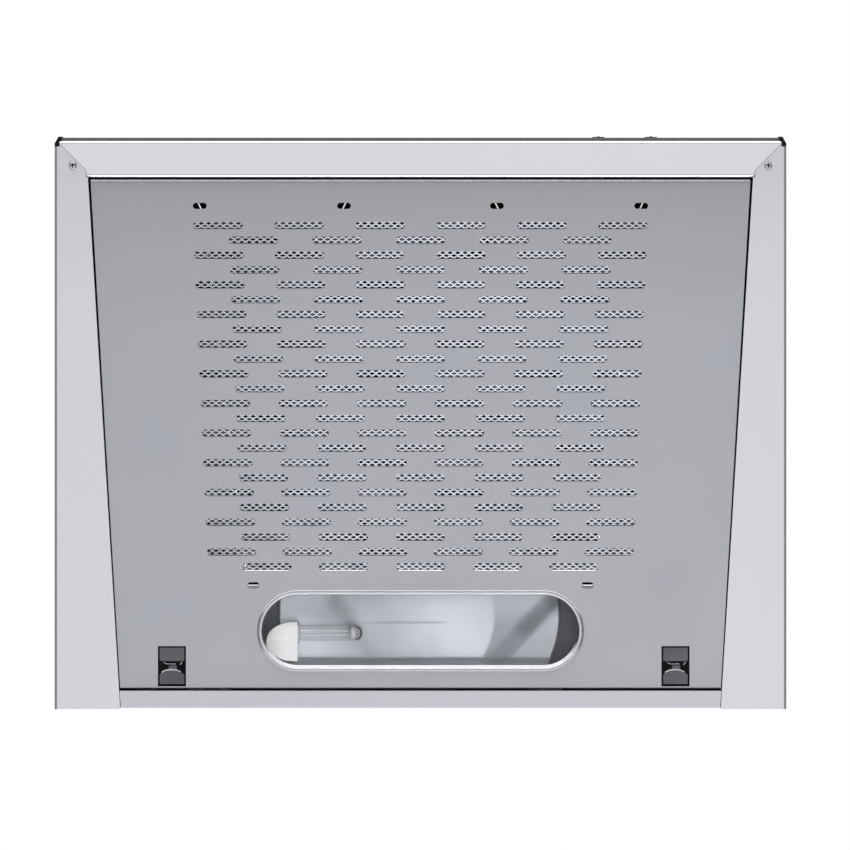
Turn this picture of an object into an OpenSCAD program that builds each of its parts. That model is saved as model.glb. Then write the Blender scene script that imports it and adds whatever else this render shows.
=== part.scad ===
// Under-cabinet range hood, 600 mm wide, with a hinged grille, blower and duct collar.
// X to the right seen from the front, Y to the wall, Z up. Origin at the centre of the underside.

/* [Casing] */
// Width over the side panels
hood_w = 600; // [570:1:700]
// Depth from the front panel to the wall
casing_d = 466; // [455:1:520]
// Height at the wall
casing_h = 135; // [132:1:170]
// Depth of the flat top that goes under a cabinet
flat_top_d = 320; // [312:1:335]
// Height of the front face
front_h = 46; // [44:1:60]
// Thickness of the casing sheet
sheet_t = 0.8; // [0.7:0.1:1.2]
// Outer radius of the long bends
bend_r = 2.5; // [2:0.1:3.5]
// Seam between sheets that meet edge to edge
seam = 0.4; // [0.3:0.1:0.8]
// Width of the flanges that join the sheets
joint_flange_w = 14; // [10:1:20]

/* [Underside frame] */
// Width of the side flange at its front end
flange_front_w = 27.3; // [26:0.1:35]
// Width of the side flange at the wall
flange_rear_w = 53.8; // [48:0.1:60]
// Depth of the front panel's bottom return
front_return_d = 29.8; // [29:0.1:34]
// Depth of the rear rail
rear_rail_d = 15; // [14:0.1:18]
// Height of the lips along the side flanges
side_lip_h = 7; // [4:0.5:10]
// Height of the lip of the front return
return_lip_h = 8; // [5:0.5:9]
// Height of the hem of the rear rail
rail_hem_h = 1.8; // [1.4:0.1:2]
// Step between the front return's end and the side flange's inner edge
mitre_step = 1.3; // [0.5:0.1:3]
// Distance of a corner screw outside the mitre's inner end
corner_screw_out = 11; // [9:0.1:13]
// Distance of a corner screw in front of the mitre's inner end
corner_screw_fore = 4.2; // [3:0.1:5]
// Depth of the tab that takes a corner screw
corner_tab_d = 12; // [10:0.5:14]

/* [Controls] */
// Thickness of the control fascia
fascia_t = 2.5; // [2:0.1:4]
// Margin of the fascia below and above
fascia_margin = 3; // [2.6:0.1:6]
// Width of an end cap along the front
cap_w = 6.4; // [5.5:0.1:9]
// How far an end cap wraps back along the side
cap_d = 4.4; // [3.6:0.1:8]
// How far the front panel reaches beside an end cap
cap_lap = 2.3; // [1.8:0.1:3]
// How far an end cap stands in front of the fascia
cap_proud = 0.8; // [0.4:0.1:1.4]
// Height of the sliders' centre
knob_z = 23; // [22.5:0.5:26]
// How far a slider knob stands in front of the fascia
knob_proud = 1.5; // [1.2:0.1:3]
// Width of a knob's base
knob_w = 10; // [8:0.5:14]
// Height of a knob
knob_h = 14; // [10:1:18]
// Width of a knob's ridge
knob_ridge_w = 5; // [3:0.5:7]
// Distance of the light slider from the hood's right side
light_in = 154; // [150:1:200]
// Travel of the light slider
light_travel = 8; // [5:1:12]
// Distance of the speed slider from the hood's right side, at its lowest step
speed_in = 111; // [100:1:115]
// Travel of the speed slider over its steps
speed_travel = 24; // [15:1:30]
// Thickness of a slider's stem
stem_t = 3; // [2:0.1:4]

/* [Grille] */
// Height of the grille's face above the underside
grille_lift = 2.5; // [2.2:0.1:4]
// Thickness of the grille sheet
grille_t = 0.8; // [0.6:0.1:1.2]
// Gap between the front return and the grille
grille_front_gap = 1.6; // [1:0.1:3]
// Gap between the grille and the rear rail
grille_rear_gap = 2; // [1.6:0.1:4]
// Gap beside the grille at its front end
side_gap_front = 2; // [1:0.1:3]
// Gap beside the grille at its rear end
side_gap_rear = 1; // [0.8:0.1:3]
// Height of the grille's turned-up edges
grille_edge_h = 8; // [5:0.5:12]
// Outer radius of the rolled front edge
roll_r = 3; // [2.8:0.1:4]
// Radial clearance of a pin or shaft in its bore
running_gap = 0.05; // [0.03:0.01:0.09]

/* [Grille slots] */
// Number of slot rows
slot_rows = 24; // [20:1:24]
// Distance from the grille's front edge to the first row
slot_first = 38.1; // [36:0.1:45]
// Distance from the last row to the grille's rear edge
slot_last = 99.6; // [96:0.1:105]
// Length of a slot
slot_l = 40.6; // [20:0.5:46]
// Width of a slot
slot_w = 6; // [3:0.1:8]
// Slots in the longer rows
slots_long_row = 6; // [4:1:6]
// Half width of the first long row, between slot centres
long_row_front = 166.2; // [160:0.1:168]
// Half width of the last long row
long_row_rear = 154.3; // [150:0.1:166]
// Half width of the first short row
short_row_front = 137.4; // [130:0.1:140]
// Half width of the last short row
short_row_rear = 125.9; // [120:0.1:135]

/* [Grease filter] */
// Width of the filter
filter_w = 400; // [390:1:420]
// Distance from the filter to the grille's rear edge
filter_rear_in = 91; // [88:1:94]
// Thickness of the filter
filter_t = 10; // [6:0.5:12]
// Distance from the grille's front edge to the filter
filter_inset = 27.6; // [27:0.1:30]
// Width of the filter's frame
filter_rim = 6; // [4:0.1:6.5]
// Thickness of the filter's frame sheet
filter_skin = 0.6; // [0.4:0.1:1]
// Thickness of the filter's screens
filter_screen = 0.4; // [0.3:0.05:0.6]
// Pleats in the filter's crimped layer
filter_pleats = 24; // [16:1:30]
// Radius of the retaining wire
wire_r = 0.8; // [0.6:0.1:1]
// Half distance between the retaining wires' rear bars
wire_rear_x = 137; // [130:1:150]
// Outer wire foot from the centre
wire_outer_x = 181; // [175:1:185]
// Inner wire foot from the centre
wire_inner_x = 62.7; // [55:0.1:80]
// Distance from the grille's front edge to the feet's slots
wire_slot_first = 22; // [20:0.1:22.5]
// Length of a wire foot slot
wire_slot_l = 11.3; // [9:0.1:16]
// Width of a wire slot
wire_slot_w = 5; // [3.5:0.1:6]

/* [Lamp] */
// Length of the lamp cover
lens_l = 268; // [240:1:280]
// Width of the lamp cover
lens_w = 67; // [60:0.5:68]
// Distance from the grille's rear edge to the middle of the lamp cover
lens_inset = 47; // [44:0.1:50]
// Width of the cover's rim on the grille
lens_rim = 3.7; // [2.5:0.1:5]
// Thickness of the cover
lens_t = 1.6; // [1.2:0.1:2.4]
// How far the rim stands below the grille
lens_proud = 1.4; // [0.8:0.1:1.5]
// Height of the lamp's axis
lamp_z = 31; // [30:0.5:34]
// Radius of the bulb
bulb_r = 6.5; // [5:0.1:8]
// Length of the bulb outside its holder
bulb_l = 54; // [40:1:90]
// Length of the lamp holder
holder_l = 25.5; // [20:0.5:30]
// Width of the lamp holder
holder_w = 32; // [26:1:36]
// How far the lamp holder reaches below the lamp's axis
holder_drop = 13; // [9:0.5:16]
// Height of the reflector tray
tray_h = 35; // [34:0.5:38]

/* [Latches] */
// Distance of the left latch from the hood's left side
latch_left_in = 96.2; // [90:0.1:102]
// Distance of the right latch from the hood's right side
latch_right_in = 90.9; // [88:0.1:102]
// Width of a latch opening
latch_w = 23; // [18:0.5:26]
// Length of a latch opening
latch_l = 33; // [28:0.1:36]
// Travel of a latch
latch_travel = 4; // [3:0.1:5]
// Thickness of a latch slider
latch_t = 3; // [2.4:0.1:4]
// Play between a latch slider and its guide
latch_play = 0.3; // [0.2:0.05:0.5]
// Radius of a latch spring
spring_r = 2; // [1.6:0.1:2.4]
// Radius of the spring wire
spring_wire_r = 0.3; // [0.2:0.05:0.4]
// Coils in a latch spring
spring_coils = 7; // [4:1:9]

/* [Blower] */
// Radius of the impeller
impeller_r = 75; // [68:0.5:78]
// Height of the impeller
impeller_h = 48; // [40:1:50]
// Blades on the impeller
blade_count = 36; // [24:1:44]
// Gap between the impeller and the narrowest part of the scroll
cutoff_gap = 7; // [5:0.5:9]
// How much the scroll widens round the impeller
scroll_growth = 36; // [28:0.5:40]
// Wall of the scroll
scroll_wall = 2; // [1.6:0.1:3]
// Height of the blower
blower_h = 76; // [74:0.5:78]
// Distance from the blower's axis to the duct's axis
fan_to_duct = 130; // [124:1:132]
// Radius of the motor
motor_r = 42; // [36:0.5:44]
// Height of the motor
motor_h = 40; // [32:1:42]
// Radius of the shaft
shaft_r = 4; // [3:0.1:5]

/* [Duct collar] */
// Outer radius of the duct collar
duct_r = 60; // [50:0.5:62.5]
// Height of the duct collar above the top
duct_h = 35; // [30:1:60]
// Wall of the duct collar
duct_wall = 2.5; // [2:0.1:3.5]
// Distance from the wall to the duct's axis
duct_to_wall = 75; // [74:1:90]
// Thickness of a flap
flap_t = 1.2; // [0.8:0.1:2]
// Radius of the flaps' pin
flap_pin_r = 1.5; // [1:0.1:2]

/* [Fixing holes] */
// Radius of the cabinet fixing holes
cabinet_hole_r = 2.75; // [2:0.05:4]
// Distance between them across the hood
cabinet_span_x = 520; // [480:1:530]
// Distance between them front to back
cabinet_span_y = 220; // [180:1:230]
// Radius of the wall fixing holes
wall_hole_r = 4; // [3:0.1:5]
// Distance between the wall fixing holes
wall_span = 500; // [440:1:510]
// Distance of the wall fixing holes below the top
wall_hole_drop = 30; // [25:1:40]

/* [Electrics] */
// Width of the terminal box
box_w = 80; // [70:1:90]
// Depth of the terminal box
box_d = 60; // [50:1:64]
// Height of the terminal box
box_h = 42; // [36:1:50]
// Distance of the terminal box's middle from the hood's left side
box_in = 105; // [95:1:120]
// Radius of the cable gland's bore
gland_r = 4; // [3:0.1:5]

/* [Hidden] */
$fn = 48;

// Clearance between pieces that seat on each other
seat = 0.1;
// Gap beside pieces that have to move past each other
slack = 0.5;

// Planes of the casing
overall_d = casing_d + fascia_t + knob_proud;
y_wall = overall_d / 2;
y_front = y_wall - casing_d;
y_fascia = y_front - fascia_t;
y_knee = y_wall - flat_top_d;
y_return = y_front + front_return_d;
y_rail = y_wall - rear_rail_d;
x_side = hood_w / 2;
light_x = x_side - light_in;
speed_x = x_side - speed_in;
z_roof = casing_h - sheet_t;
slope = atan2(casing_h - front_h, y_knee - y_front);
slope_t = sheet_t / cos(slope);
z_front_top = front_h - slope_t - seat;

// Underside frame
function flange_w(y) =
    flange_front_w + (flange_rear_w - flange_front_w) * (y - y_return) / (y_wall - y_return);
function side_edge(y) = x_side - flange_w(y);
function under_roof(y) =
    min(z_roof, front_h - slope_t + tan(slope) * (y - y_front));
y_cap = y_front + cap_d;
x_face = x_side - cap_w + cap_lap;
x_mitre = side_edge(y_return) + mitre_step;
y_mitre = y_front + bend_r + x_face - x_mitre;
corner_screw_x = x_mitre + corner_screw_out;
corner_screw_y = y_mitre - corner_screw_fore;
corner_screw_r = 1.6;

// Grille
y_grille = y_return + grille_front_gap;
y_grille_end = y_rail - grille_rear_gap;
z_grille = grille_lift;
z_pan = grille_lift + grille_t;
y_hinge = y_grille + roll_r;
z_hinge = grille_lift + roll_r;
pin_r = roll_r - grille_t;
rear_bend_r = 1.2;
slot_row_pitch = (y_grille_end - slot_last - y_grille - slot_first) / (slot_rows - 1);
function side_gap(y) =
    side_gap_front + (side_gap_rear - side_gap_front) * (y - y_grille) / (y_grille_end - y_grille);
function grille_edge(y) = side_edge(y) - side_gap(y);
bracket_x = side_edge(y_hinge) + seam;
bracket_t = 2.5;
bracket_r = z_hinge - sheet_t - 0.2;

// Filter and its wires
y_filter = y_grille + filter_inset;
y_filter_end = y_grille_end - filter_rear_in;
filter_d = y_filter_end - y_filter;
z_filter = z_pan + seat;
z_filter_top = z_filter + filter_t;
y_wire_slot = y_grille + wire_slot_first;
y_wire_rear = y_filter_end + 6.5;
z_wire_low = z_pan + wire_r + seat;
z_wire_high = z_filter_top + wire_r + seat;
y_wire_tip = y_wire_slot - wire_slot_w / 2 - 1.5;
hook_t = grille_t;

// Lamp
y_lens = y_grille_end - lens_inset;
skirt_l = lens_l - 2 * lens_rim;
skirt_w = lens_w - 2 * lens_rim;
skirt_wall = 1.6;
skirt_h = 6;
z_tray = z_pan + skirt_h + 3.5;
tray_margin = 3;
tray_l = lens_l + 2 * tray_margin;
tray_w = lens_w + 2 * tray_margin;
bulb_x = -tray_l / 2 + holder_l + 10.5;

// Latches
latch_left_x = x_side - latch_left_in;
latch_right_x = x_side - latch_right_in;
y_latch = y_grille_end - rear_bend_r - seam - latch_l;
latch_lap = 2;
z_latch = z_pan + 2 * seat;
z_latch_top = z_latch + latch_t;
y_tongue = y_rail - slack;
y_slider = y_latch - latch_travel - latch_lap;
pusher_l = 5;
pusher_h = 2 * spring_r + 1.4;
spring_l = 14;
y_spring = y_slider - spring_l;
guide_wall = 1.6;
z_guide = z_latch + max(latch_t, pusher_h) + latch_play;
z_spring = z_latch + spring_r + 0.5;

// Blower
y_duct = y_wall - duct_to_wall;
plenum_r = duct_r + 1.5;
scroll_r = impeller_r + cutoff_gap;
x_fan = plenum_r - scroll_r - scroll_growth;
y_fan = y_duct - fan_to_duct;
z_blower_top = z_roof - 2 * seat;
z_blower = z_blower_top - blower_h;
z_split = z_blower + blower_h * 0.45;
rim_t = 1.6;
rim_w = 3;
inlet_r = impeller_r - 12;
z_impeller = z_blower + scroll_wall + 5;
dish_r = motor_r + 8;
dish_drop = 5;
z_motor_top = z_blower_top - dish_drop - scroll_wall;
z_motor = z_motor_top - motor_h;
hub_wall = 2;
hub_r = motor_r + 5;
z_hub = z_motor - 8;
function cutoff(extra) = acos((-plenum_r - extra - x_fan) / (scroll_r + extra));
function spiral_r(a, extra) =
    scroll_r + extra + scroll_growth * (a - cutoff(extra)) / (360 - cutoff(extra));

// Collar and flaps
duct_bore = duct_r - duct_wall;
spigot_r = duct_r - 1;
flap_r = duct_bore - slack;
knuckle_r = flap_pin_r + 1.5;
z_flap_pin = casing_h + 8;
knuckle_l = 18;
collar_flange_r = duct_r + 12;
collar_flange_t = 2.5;

// Electrics
box_x = x_side - box_in;
y_box = y_wall - 2 * sheet_t - seat - box_d;
z_box = z_roof - seat - box_h;
box_wall = 2;
lid_t = 2;

// Small screws and the ears that take them
screw_r = 1.7;
screw_head_r = 3.1;
screw_head_h = 1.9;
screw_l = 8;
motor_screw_l = 10;
collar_screw_l = 7;
lid_screw_r = 1.2;
lid_screw_l = 8;
ear_r = 7;
ear_out = scroll_wall + ear_r - 1.5;
function ear_spot(a) =
    [x_fan + spiral_r(a, ear_out) * cos(a), y_fan + spiral_r(a, ear_out) * sin(a)];
fan_screw_spots = [
    ear_spot(140),
    ear_spot(232),
    ear_spot(308),
    [plenum_r + ear_out, y_duct - 45]
];
collar_screw_spots = [
    for (a = [45:90:315])
        [(collar_flange_r - 5) * cos(a), y_duct + (collar_flange_r - 5) * sin(a)]
];

// Bent sheet round the X axis, with angles counted from +Y towards +Z
module curl_x(r, t, l, from, to) {
    rotate([90, 0, 90])
        translate([0, 0, -l / 2])
            rotate([0, 0, from])
                rotate_extrude(angle = to - from)
                    translate([r - t, 0])
                        square([t, l]);
}

// Shape drawn in Y and Z, stretched along X about the middle
module along_x(l) {
    rotate([90, 0, 90])
        translate([0, 0, -l / 2])
            linear_extrude(l)
                children();
}

// Round bar along X
module bar_x(r, l) {
    rotate([0, 90, 0])
        translate([0, 0, -l / 2])
            cylinder(r = r, h = l);
}

// Round bar along Y, from the origin
module bar_y(r, l) {
    rotate([-90, 0, 0])
        cylinder(r = r, h = l);
}

// Slot with round ends, lying along X
module stadium(l, w) {
    union() {
        square([l - w, w], center = true);
        for (s = [-1, 1])
            translate([s * (l - w) / 2, 0])
                circle(d = w);
    }
}

// Points of a wire path with each corner turned into a short curve
function corner(a, b, c, r) =
    let (
        u = (a - b) / norm(a - b),
        v = (c - b) / norm(c - b),
        p = b + u * r,
        q = b + v * r
    )
    [for (k = [0:4]) let (f = k / 4) (1 - f) * (1 - f) * p + 2 * f * (1 - f) * b + f * f * q];

function rounded(path, r) = concat(
    [path[0]],
    [for (i = [1:len(path) - 2]) each corner(path[i - 1], path[i], path[i + 1], r)],
    [path[len(path) - 1]]
);

function unit(v) = v / norm(v);

function heading(path, i) =
    i == 0 ? unit(path[1] - path[0]) :
    i == len(path) - 1 ? unit(path[i] - path[i - 1]) :
    unit(unit(path[i] - path[i - 1]) + unit(path[i + 1] - path[i]));

// Side directions along a path, each the last one laid square to the new heading
function carried(path, start, i = 0, done = []) =
    i == len(path) ? done :
    let (
        before = i == 0 ? start : done[i - 1],
        t = heading(path, i),
        s = unit(before - (before * t) * t)
    )
    carried(path, start, i + 1, concat(done, [s]));

// Round wire along a path
module wire(path, r, sides, start) {
    n = len(path);
    side = carried(path, start);
    points = [
        for (i = [0:n - 1])
            let (t = heading(path, i), u = side[i], w = cross(t, u))
            for (k = [0:sides - 1])
                let (a = 360 * k / sides)
                path[i] + r * (cos(a) * u + sin(a) * w)
    ];
    walls = [
        for (i = [0:n - 2], k = [0:sides - 1])
            let (
                a = i * sides + k,
                b = i * sides + (k + 1) % sides
            )
            each [[a, a + sides, b], [b, a + sides, b + sides]]
    ];
    ends = [
        for (k = [1:sides - 2])
            each [
                [0, k, k + 1],
                [(n - 1) * sides, (n - 1) * sides + k + 1, (n - 1) * sides + k]
            ]
    ];
    polyhedron(points = points, faces = concat(walls, ends));
}

// Pan-head screw, head up, with its head's underside at the origin
module pan_screw(r, l, head_r, head_h) {
    rotate_extrude()
        polygon([
            [0, -l], [r * 0.6, -l], [r, -l + r * 0.6], [r, 0], [head_r, 0],
            [head_r, head_h * 0.45], [head_r * 0.8, head_h * 0.85], [head_r * 0.45, head_h],
            [0, head_h]
        ]);
}

// Casing

module side_outline() {
    knee_y = y_front + (z_roof - front_h + slope_t) / tan(slope);
    polygon([
        [y_wall, bend_r], [y_wall, z_roof], [knee_y, z_roof],
        [y_cap + seam, under_roof(y_cap + seam)], [y_cap + seam, bend_r]
    ]);
}

module side_panel(s) {
    y0 = y_cap + seam;
    lip_start = y_hinge + bracket_r + seam;
    lip_end = y_rail - seam;
    mirror([s < 0 ? 1 : 0, 0, 0])
        difference() {
            side_sheets(y0, lip_start, lip_end);
            corner_screw_hole();
        }
}

// Wall, bend and flanges of the right side panel
module side_sheets(y0, lip_start, lip_end) {
    union() {
        translate([x_side - sheet_t / 2, 0, 0])
            along_x(sheet_t)
                side_outline();
        translate([x_side - bend_r, y0, bend_r])
            rotate([-90, 0, 0])
                rotate_extrude(angle = 90)
                    translate([bend_r - sheet_t, 0])
                        square([sheet_t, y_wall - y0]);
        linear_extrude(sheet_t)
            polygon([
                [x_side - bend_r, y0], [x_side - bend_r, y_wall], [side_edge(y_wall), y_wall],
                [side_edge(y_return), y_return], [x_mitre + seam, y_return],
                [x_mitre + seam, y_mitre], [x_face, y_mitre + x_mitre + seam - x_face],
                [x_face, y0]
            ]);
        linear_extrude(side_lip_h)
            polygon([
                [side_edge(lip_start), lip_start], [side_edge(lip_start) + sheet_t, lip_start],
                [side_edge(lip_end) + sheet_t, lip_end], [side_edge(lip_end), lip_end]
            ]);
        translate([x_side - joint_flange_w, y_wall - sheet_t, sheet_t])
            cube([joint_flange_w - sheet_t / 2, sheet_t, z_roof - sheet_t]);
        translate([x_side - joint_flange_w, y_knee + 6, z_roof - sheet_t])
            cube([joint_flange_w - sheet_t / 2, y_wall - y_knee - 6, sheet_t]);
    }
}

module side_panel_left() {
    color("gainsboro")
        side_panel(-1);
}

module side_panel_right() {
    color("gainsboro")
        side_panel(1);
}

module front_panel() {
    lip_w = 2 * x_mitre;
    color("gainsboro")
        difference() {
            union() {
                translate([-x_face, y_front, bend_r])
                    cube([2 * x_face, sheet_t, z_front_top - bend_r]);
                translate([0, y_front + bend_r, bend_r])
                    curl_x(bend_r, sheet_t, 2 * x_face, 180, 270);
                linear_extrude(sheet_t)
                    polygon([
                        [-x_face, y_front + bend_r], [-x_mitre, y_mitre],
                        [-x_mitre, y_return - bend_r], [x_mitre, y_return - bend_r],
                        [x_mitre, y_mitre], [x_face, y_front + bend_r]
                    ]);
                translate([0, y_return - bend_r, bend_r])
                    curl_x(bend_r, sheet_t, lip_w, 270, 360);
                translate([-lip_w / 2, y_return - sheet_t, bend_r])
                    cube([lip_w, sheet_t, return_lip_h - bend_r]);
                for (s = [-1, 1])
                    translate([s * corner_screw_x, 0, sheet_t * 1.5])
                        corner_tab(s);
            }
            corner_screw_hole();
            mirror([1, 0, 0])
                corner_screw_hole();
            slider_slot(light_x, light_travel, y_front);
            slider_slot(speed_x, speed_travel, y_front);
        }
}

// Tab of the front panel that lies on the side flange and takes the corner screw
module corner_tab(s) {
    reach = corner_screw_x - x_mitre + 2;
    translate([-s * (reach - 6) / 2, corner_screw_y + 1.5, 0])
        cube([reach + 6, corner_tab_d, sheet_t], center = true);
}

// Slot that a slider's stem runs in
module slider_slot(x, travel, y) {
    gap = 0.4;
    translate([x - stem_t / 2 - gap, y - fascia_t - 1, knob_z - stem_t / 2 - gap])
        cube([travel + stem_t + 2 * gap, fascia_t + sheet_t + 2, stem_t + 2 * gap]);
}

module back_panel() {
    y0 = y_wall - 2 * sheet_t;
    w = 2 * (x_side - sheet_t - seam);
    color("gainsboro")
        difference() {
            union() {
                translate([-w / 2, y0, bend_r])
                    cube([w, sheet_t, z_roof - sheet_t - seat - bend_r]);
                translate([0, y_wall - sheet_t - bend_r, bend_r])
                    curl_x(bend_r, sheet_t, 2 * (side_edge(y_wall) - seam), 270, 360);
                linear_extrude(sheet_t)
                    polygon([
                        [-side_edge(y_rail) + seam, y_rail],
                        [-side_edge(y_wall) + seam, y_wall - sheet_t - bend_r],
                        [side_edge(y_wall) - seam, y_wall - sheet_t - bend_r],
                        [side_edge(y_rail) - seam, y_rail]
                    ]);
                translate([-side_edge(y_rail) + 3, y_rail, 0])
                    cube([2 * side_edge(y_rail) - 6, sheet_t, rail_hem_h]);
            }
            for (s = [-1, 1])
                translate([s * wall_span / 2, y0 - 1, casing_h - wall_hole_drop])
                    bar_y(wall_hole_r, sheet_t + 2);
        }
}

module top_panel() {
    inner_knee = y_front + (z_roof - front_h + slope_t) / tan(slope);
    fold_y = y_front + sheet_t + seat;
    fold_low = front_h - 10;
    color("gainsboro")
        difference() {
            along_x(hood_w)
                polygon([
                    [y_wall, casing_h], [y_knee, casing_h], [y_front, front_h],
                    [y_front, front_h - slope_t], [fold_y, under_roof(fold_y)],
                    [fold_y, fold_low], [fold_y + sheet_t, fold_low],
                    [fold_y + sheet_t, under_roof(fold_y + sheet_t)],
                    [inner_knee, z_roof], [y_wall, z_roof]
                ]);
            translate([0, y_duct, z_roof - 1])
                cylinder(r = spigot_r + slack, h = sheet_t + 2);
            cabinet_holes();
            for (p = fan_screw_spots)
                translate([p[0], p[1], z_roof - 1])
                    cylinder(r = screw_r + 0.2, h = sheet_t + 2);
            for (p = collar_screw_spots)
                translate([p[0], p[1], z_roof - 1])
                    cylinder(r = screw_r + 0.2, h = sheet_t + 2);
            translate([-box_x, y_box + box_d / 2, z_roof - 1])
                cylinder(r = gland_r + 4 + seat, h = sheet_t + 2);
            for (s = [-1, 1])
                translate([s * (x_side + 1), y_front, front_h / 2])
                    cube([2 * cap_w + 2, 2 * cap_d, front_h * 0.96], center = true);
        }
}

module cabinet_holes() {
    for (sx = [-1, 1], sy = [-1, 1])
        translate([sx * cabinet_span_x / 2, y_knee + flat_top_d / 2 + sy * cabinet_span_y / 2, z_roof - 1])
            cylinder(r = cabinet_hole_r, h = sheet_t + 2);
}

module control_fascia() {
    z0 = fascia_margin;
    z1 = front_h - fascia_margin;
    half = fascia_t / 2;
    x_end = x_face - seam;
    color("dimgray")
        difference() {
            intersection() {
                along_x(hood_w)
                    polygon([
                        [y_front, z0], [y_front - half, z0], [y_fascia, z0 + half],
                        [y_fascia, z1 - half], [y_front - half, z1], [y_front, z1]
                    ]);
                linear_extrude(front_h)
                    polygon([
                        [-x_end, y_front], [-x_end + fascia_t * 0.75, y_fascia],
                        [x_end - fascia_t * 0.75, y_fascia], [x_end, y_front]
                    ]);
            }
            slider_slot(light_x, light_travel, y_front);
            slider_slot(speed_x, speed_travel, y_front);
        }
}

module end_cap(s) {
    y_tip = y_fascia - cap_proud;
    tab_y = y_front + sheet_t + seat;
    mirror([s < 0 ? 1 : 0, 0, 0])
        union() {
            linear_extrude(z_front_top - seat)
                polygon([
                    [x_side, y_cap], [x_side, y_cap - 2.1], [x_side - cap_w / 2, y_tip],
                    [x_side - cap_w, y_tip], [x_face + seam, y_front], [x_face + seam, y_cap]
                ]);
            translate([x_face - 12, tab_y, 8])
                cube([12 + seam + 1, 2, front_h - 20]);
        }
}

module end_cap_left() {
    color("black")
        end_cap(-1);
}

module end_cap_right() {
    color("black")
        end_cap(1);
}

module corner_screws() {
    color("silver")
        for (s = [-1, 1])
            translate([s * corner_screw_x, corner_screw_y, 0])
                difference() {
                    rotate_extrude()
                        polygon([
                            [0, 0], [screw_head_r - 0.1, 0], [corner_screw_r - 0.1, 2 * sheet_t],
                            [corner_screw_r - 0.1, 6], [0.8, 7], [0, 7]
                        ]);
                    for (a = [0, 90])
                        rotate([0, 0, a])
                            cube([3, 0.7, 1.4], center = true);
                }
}

// Dimpled hole that takes a corner screw flush
module corner_screw_hole() {
    translate([corner_screw_x, corner_screw_y, 0])
        rotate_extrude()
            polygon([
                [0, -1], [screw_head_r, -1], [screw_head_r, 0], [corner_screw_r, 2 * sheet_t],
                [corner_screw_r, 9], [0, 9]
            ]);
}

module hinge_brackets() {
    color("silver")
        for (s = [-1, 1])
            mirror([s < 0 ? 1 : 0, 0, 0])
                difference() {
                    union() {
                        translate([bracket_x, y_hinge - bracket_r, sheet_t])
                            cube([bracket_t, 2 * bracket_r, z_hinge - sheet_t]);
                        translate([bracket_x + bracket_t / 2, y_hinge, z_hinge])
                            bar_x(bracket_r, bracket_t);
                        translate([bracket_x, y_hinge - bracket_r, sheet_t])
                            cube([13, 2 * bracket_r, 1.5]);
                    }
                    translate([bracket_x + bracket_t / 2, y_hinge, z_hinge])
                        bar_x(pin_r + running_gap, bracket_t + 2);
                }
}

// Controls

module slider(x) {
    base_gap = 0.3;
    reach = 8;
    union() {
        translate([x - knob_w / 2, y_fascia - base_gap - 0.6, knob_z - knob_h / 2])
            cube([knob_w, 0.6, knob_h]);
        intersection() {
            translate([x, y_fascia - knob_proud + knob_ridge_w / 2, knob_z - knob_h / 2])
                cylinder(d = knob_ridge_w, h = knob_h);
            translate([x - knob_w, y_fascia - knob_proud - 1, knob_z - knob_h / 2])
                cube([2 * knob_w, knob_proud + 1 - base_gap, knob_h]);
        }
        translate([x - stem_t / 2, y_fascia - base_gap - 0.3, knob_z - stem_t / 2])
            cube([stem_t, base_gap + 0.3 + fascia_t + sheet_t + reach, stem_t]);
    }
}

module light_slider() {
    color("gray")
        slider(light_x);
}

module speed_slider() {
    color("gray")
        slider(speed_x);
}

module slide_switch(x, travel) {
    margin = 7;
    depth = 18;
    height = 20;
    gap = 0.4;
    y0 = y_front + sheet_t + seat;
    difference() {
        translate([x - stem_t / 2 - margin, y0, knob_z - height / 2])
            cube([travel + stem_t + 2 * margin, depth, height]);
        translate([x - stem_t / 2 - gap, y0 - 1, knob_z - stem_t / 2 - gap])
            cube([travel + stem_t + 2 * gap, 10, stem_t + 2 * gap]);
    }
    for (k = [0:2])
        translate([x + travel / 2 - 6 + 6 * k - 1.2, y0 + depth, knob_z - 2.4])
            cube([2.4, 6, 0.8]);
}

module light_switch() {
    color("ivory")
        slide_switch(light_x, light_travel);
}

module speed_switch() {
    color("ivory")
        slide_switch(speed_x, speed_travel);
}

// Grille and what rides on it

// Half width of a row of slots, by its number
function row_half(i) =
    let (f = i / (slot_rows - 1))
    i % 2 == 0 ? long_row_front + (long_row_rear - long_row_front) * f
               : short_row_front + (short_row_rear - short_row_front) * f;

module slot_field() {
    for (i = [0:slot_rows - 1]) {
        n = i % 2 == 0 ? slots_long_row : slots_long_row - 1;
        for (k = [0:n - 1])
            translate([row_half(i) * (2 * k / (n - 1) - 1), y_grille + slot_first + i * slot_row_pitch])
                stadium(slot_l, slot_w);
    }
}

module wire_slots() {
    for (s = [-1, 1]) {
        for (x = [wire_outer_x, wire_inner_x])
            translate([s * x, y_wire_slot])
                stadium(wire_slot_l, wire_slot_w);
        translate([s * wire_rear_x, y_wire_rear])
            stadium(wire_slot_l - 1.5, wire_slot_w);
    }
}

module latch_openings() {
    for (x = [-latch_left_x, latch_right_x])
        translate([x - latch_w / 2, y_latch])
            square([latch_w, latch_l]);
}

// Lanced hooks over the wires' feet and stops behind their rear bars
module wire_hooks() {
    over = z_wire_low + wire_r + slack;
    for (s = [-1, 1]) {
        for (x = [wire_outer_x, wire_inner_x])
            translate([s * x - 3, y_wire_tip - wire_r - slack - hook_t, z_pan]) {
                cube([6, hook_t, over - z_pan + hook_t]);
                translate([0, 0, over - z_pan])
                    cube([6, hook_t + 2.4, hook_t]);
            }
        translate([s * wire_rear_x - 4, y_wire_rear + wire_r + 0.3, z_pan])
            cube([8, hook_t, 5]);
    }
}

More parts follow.
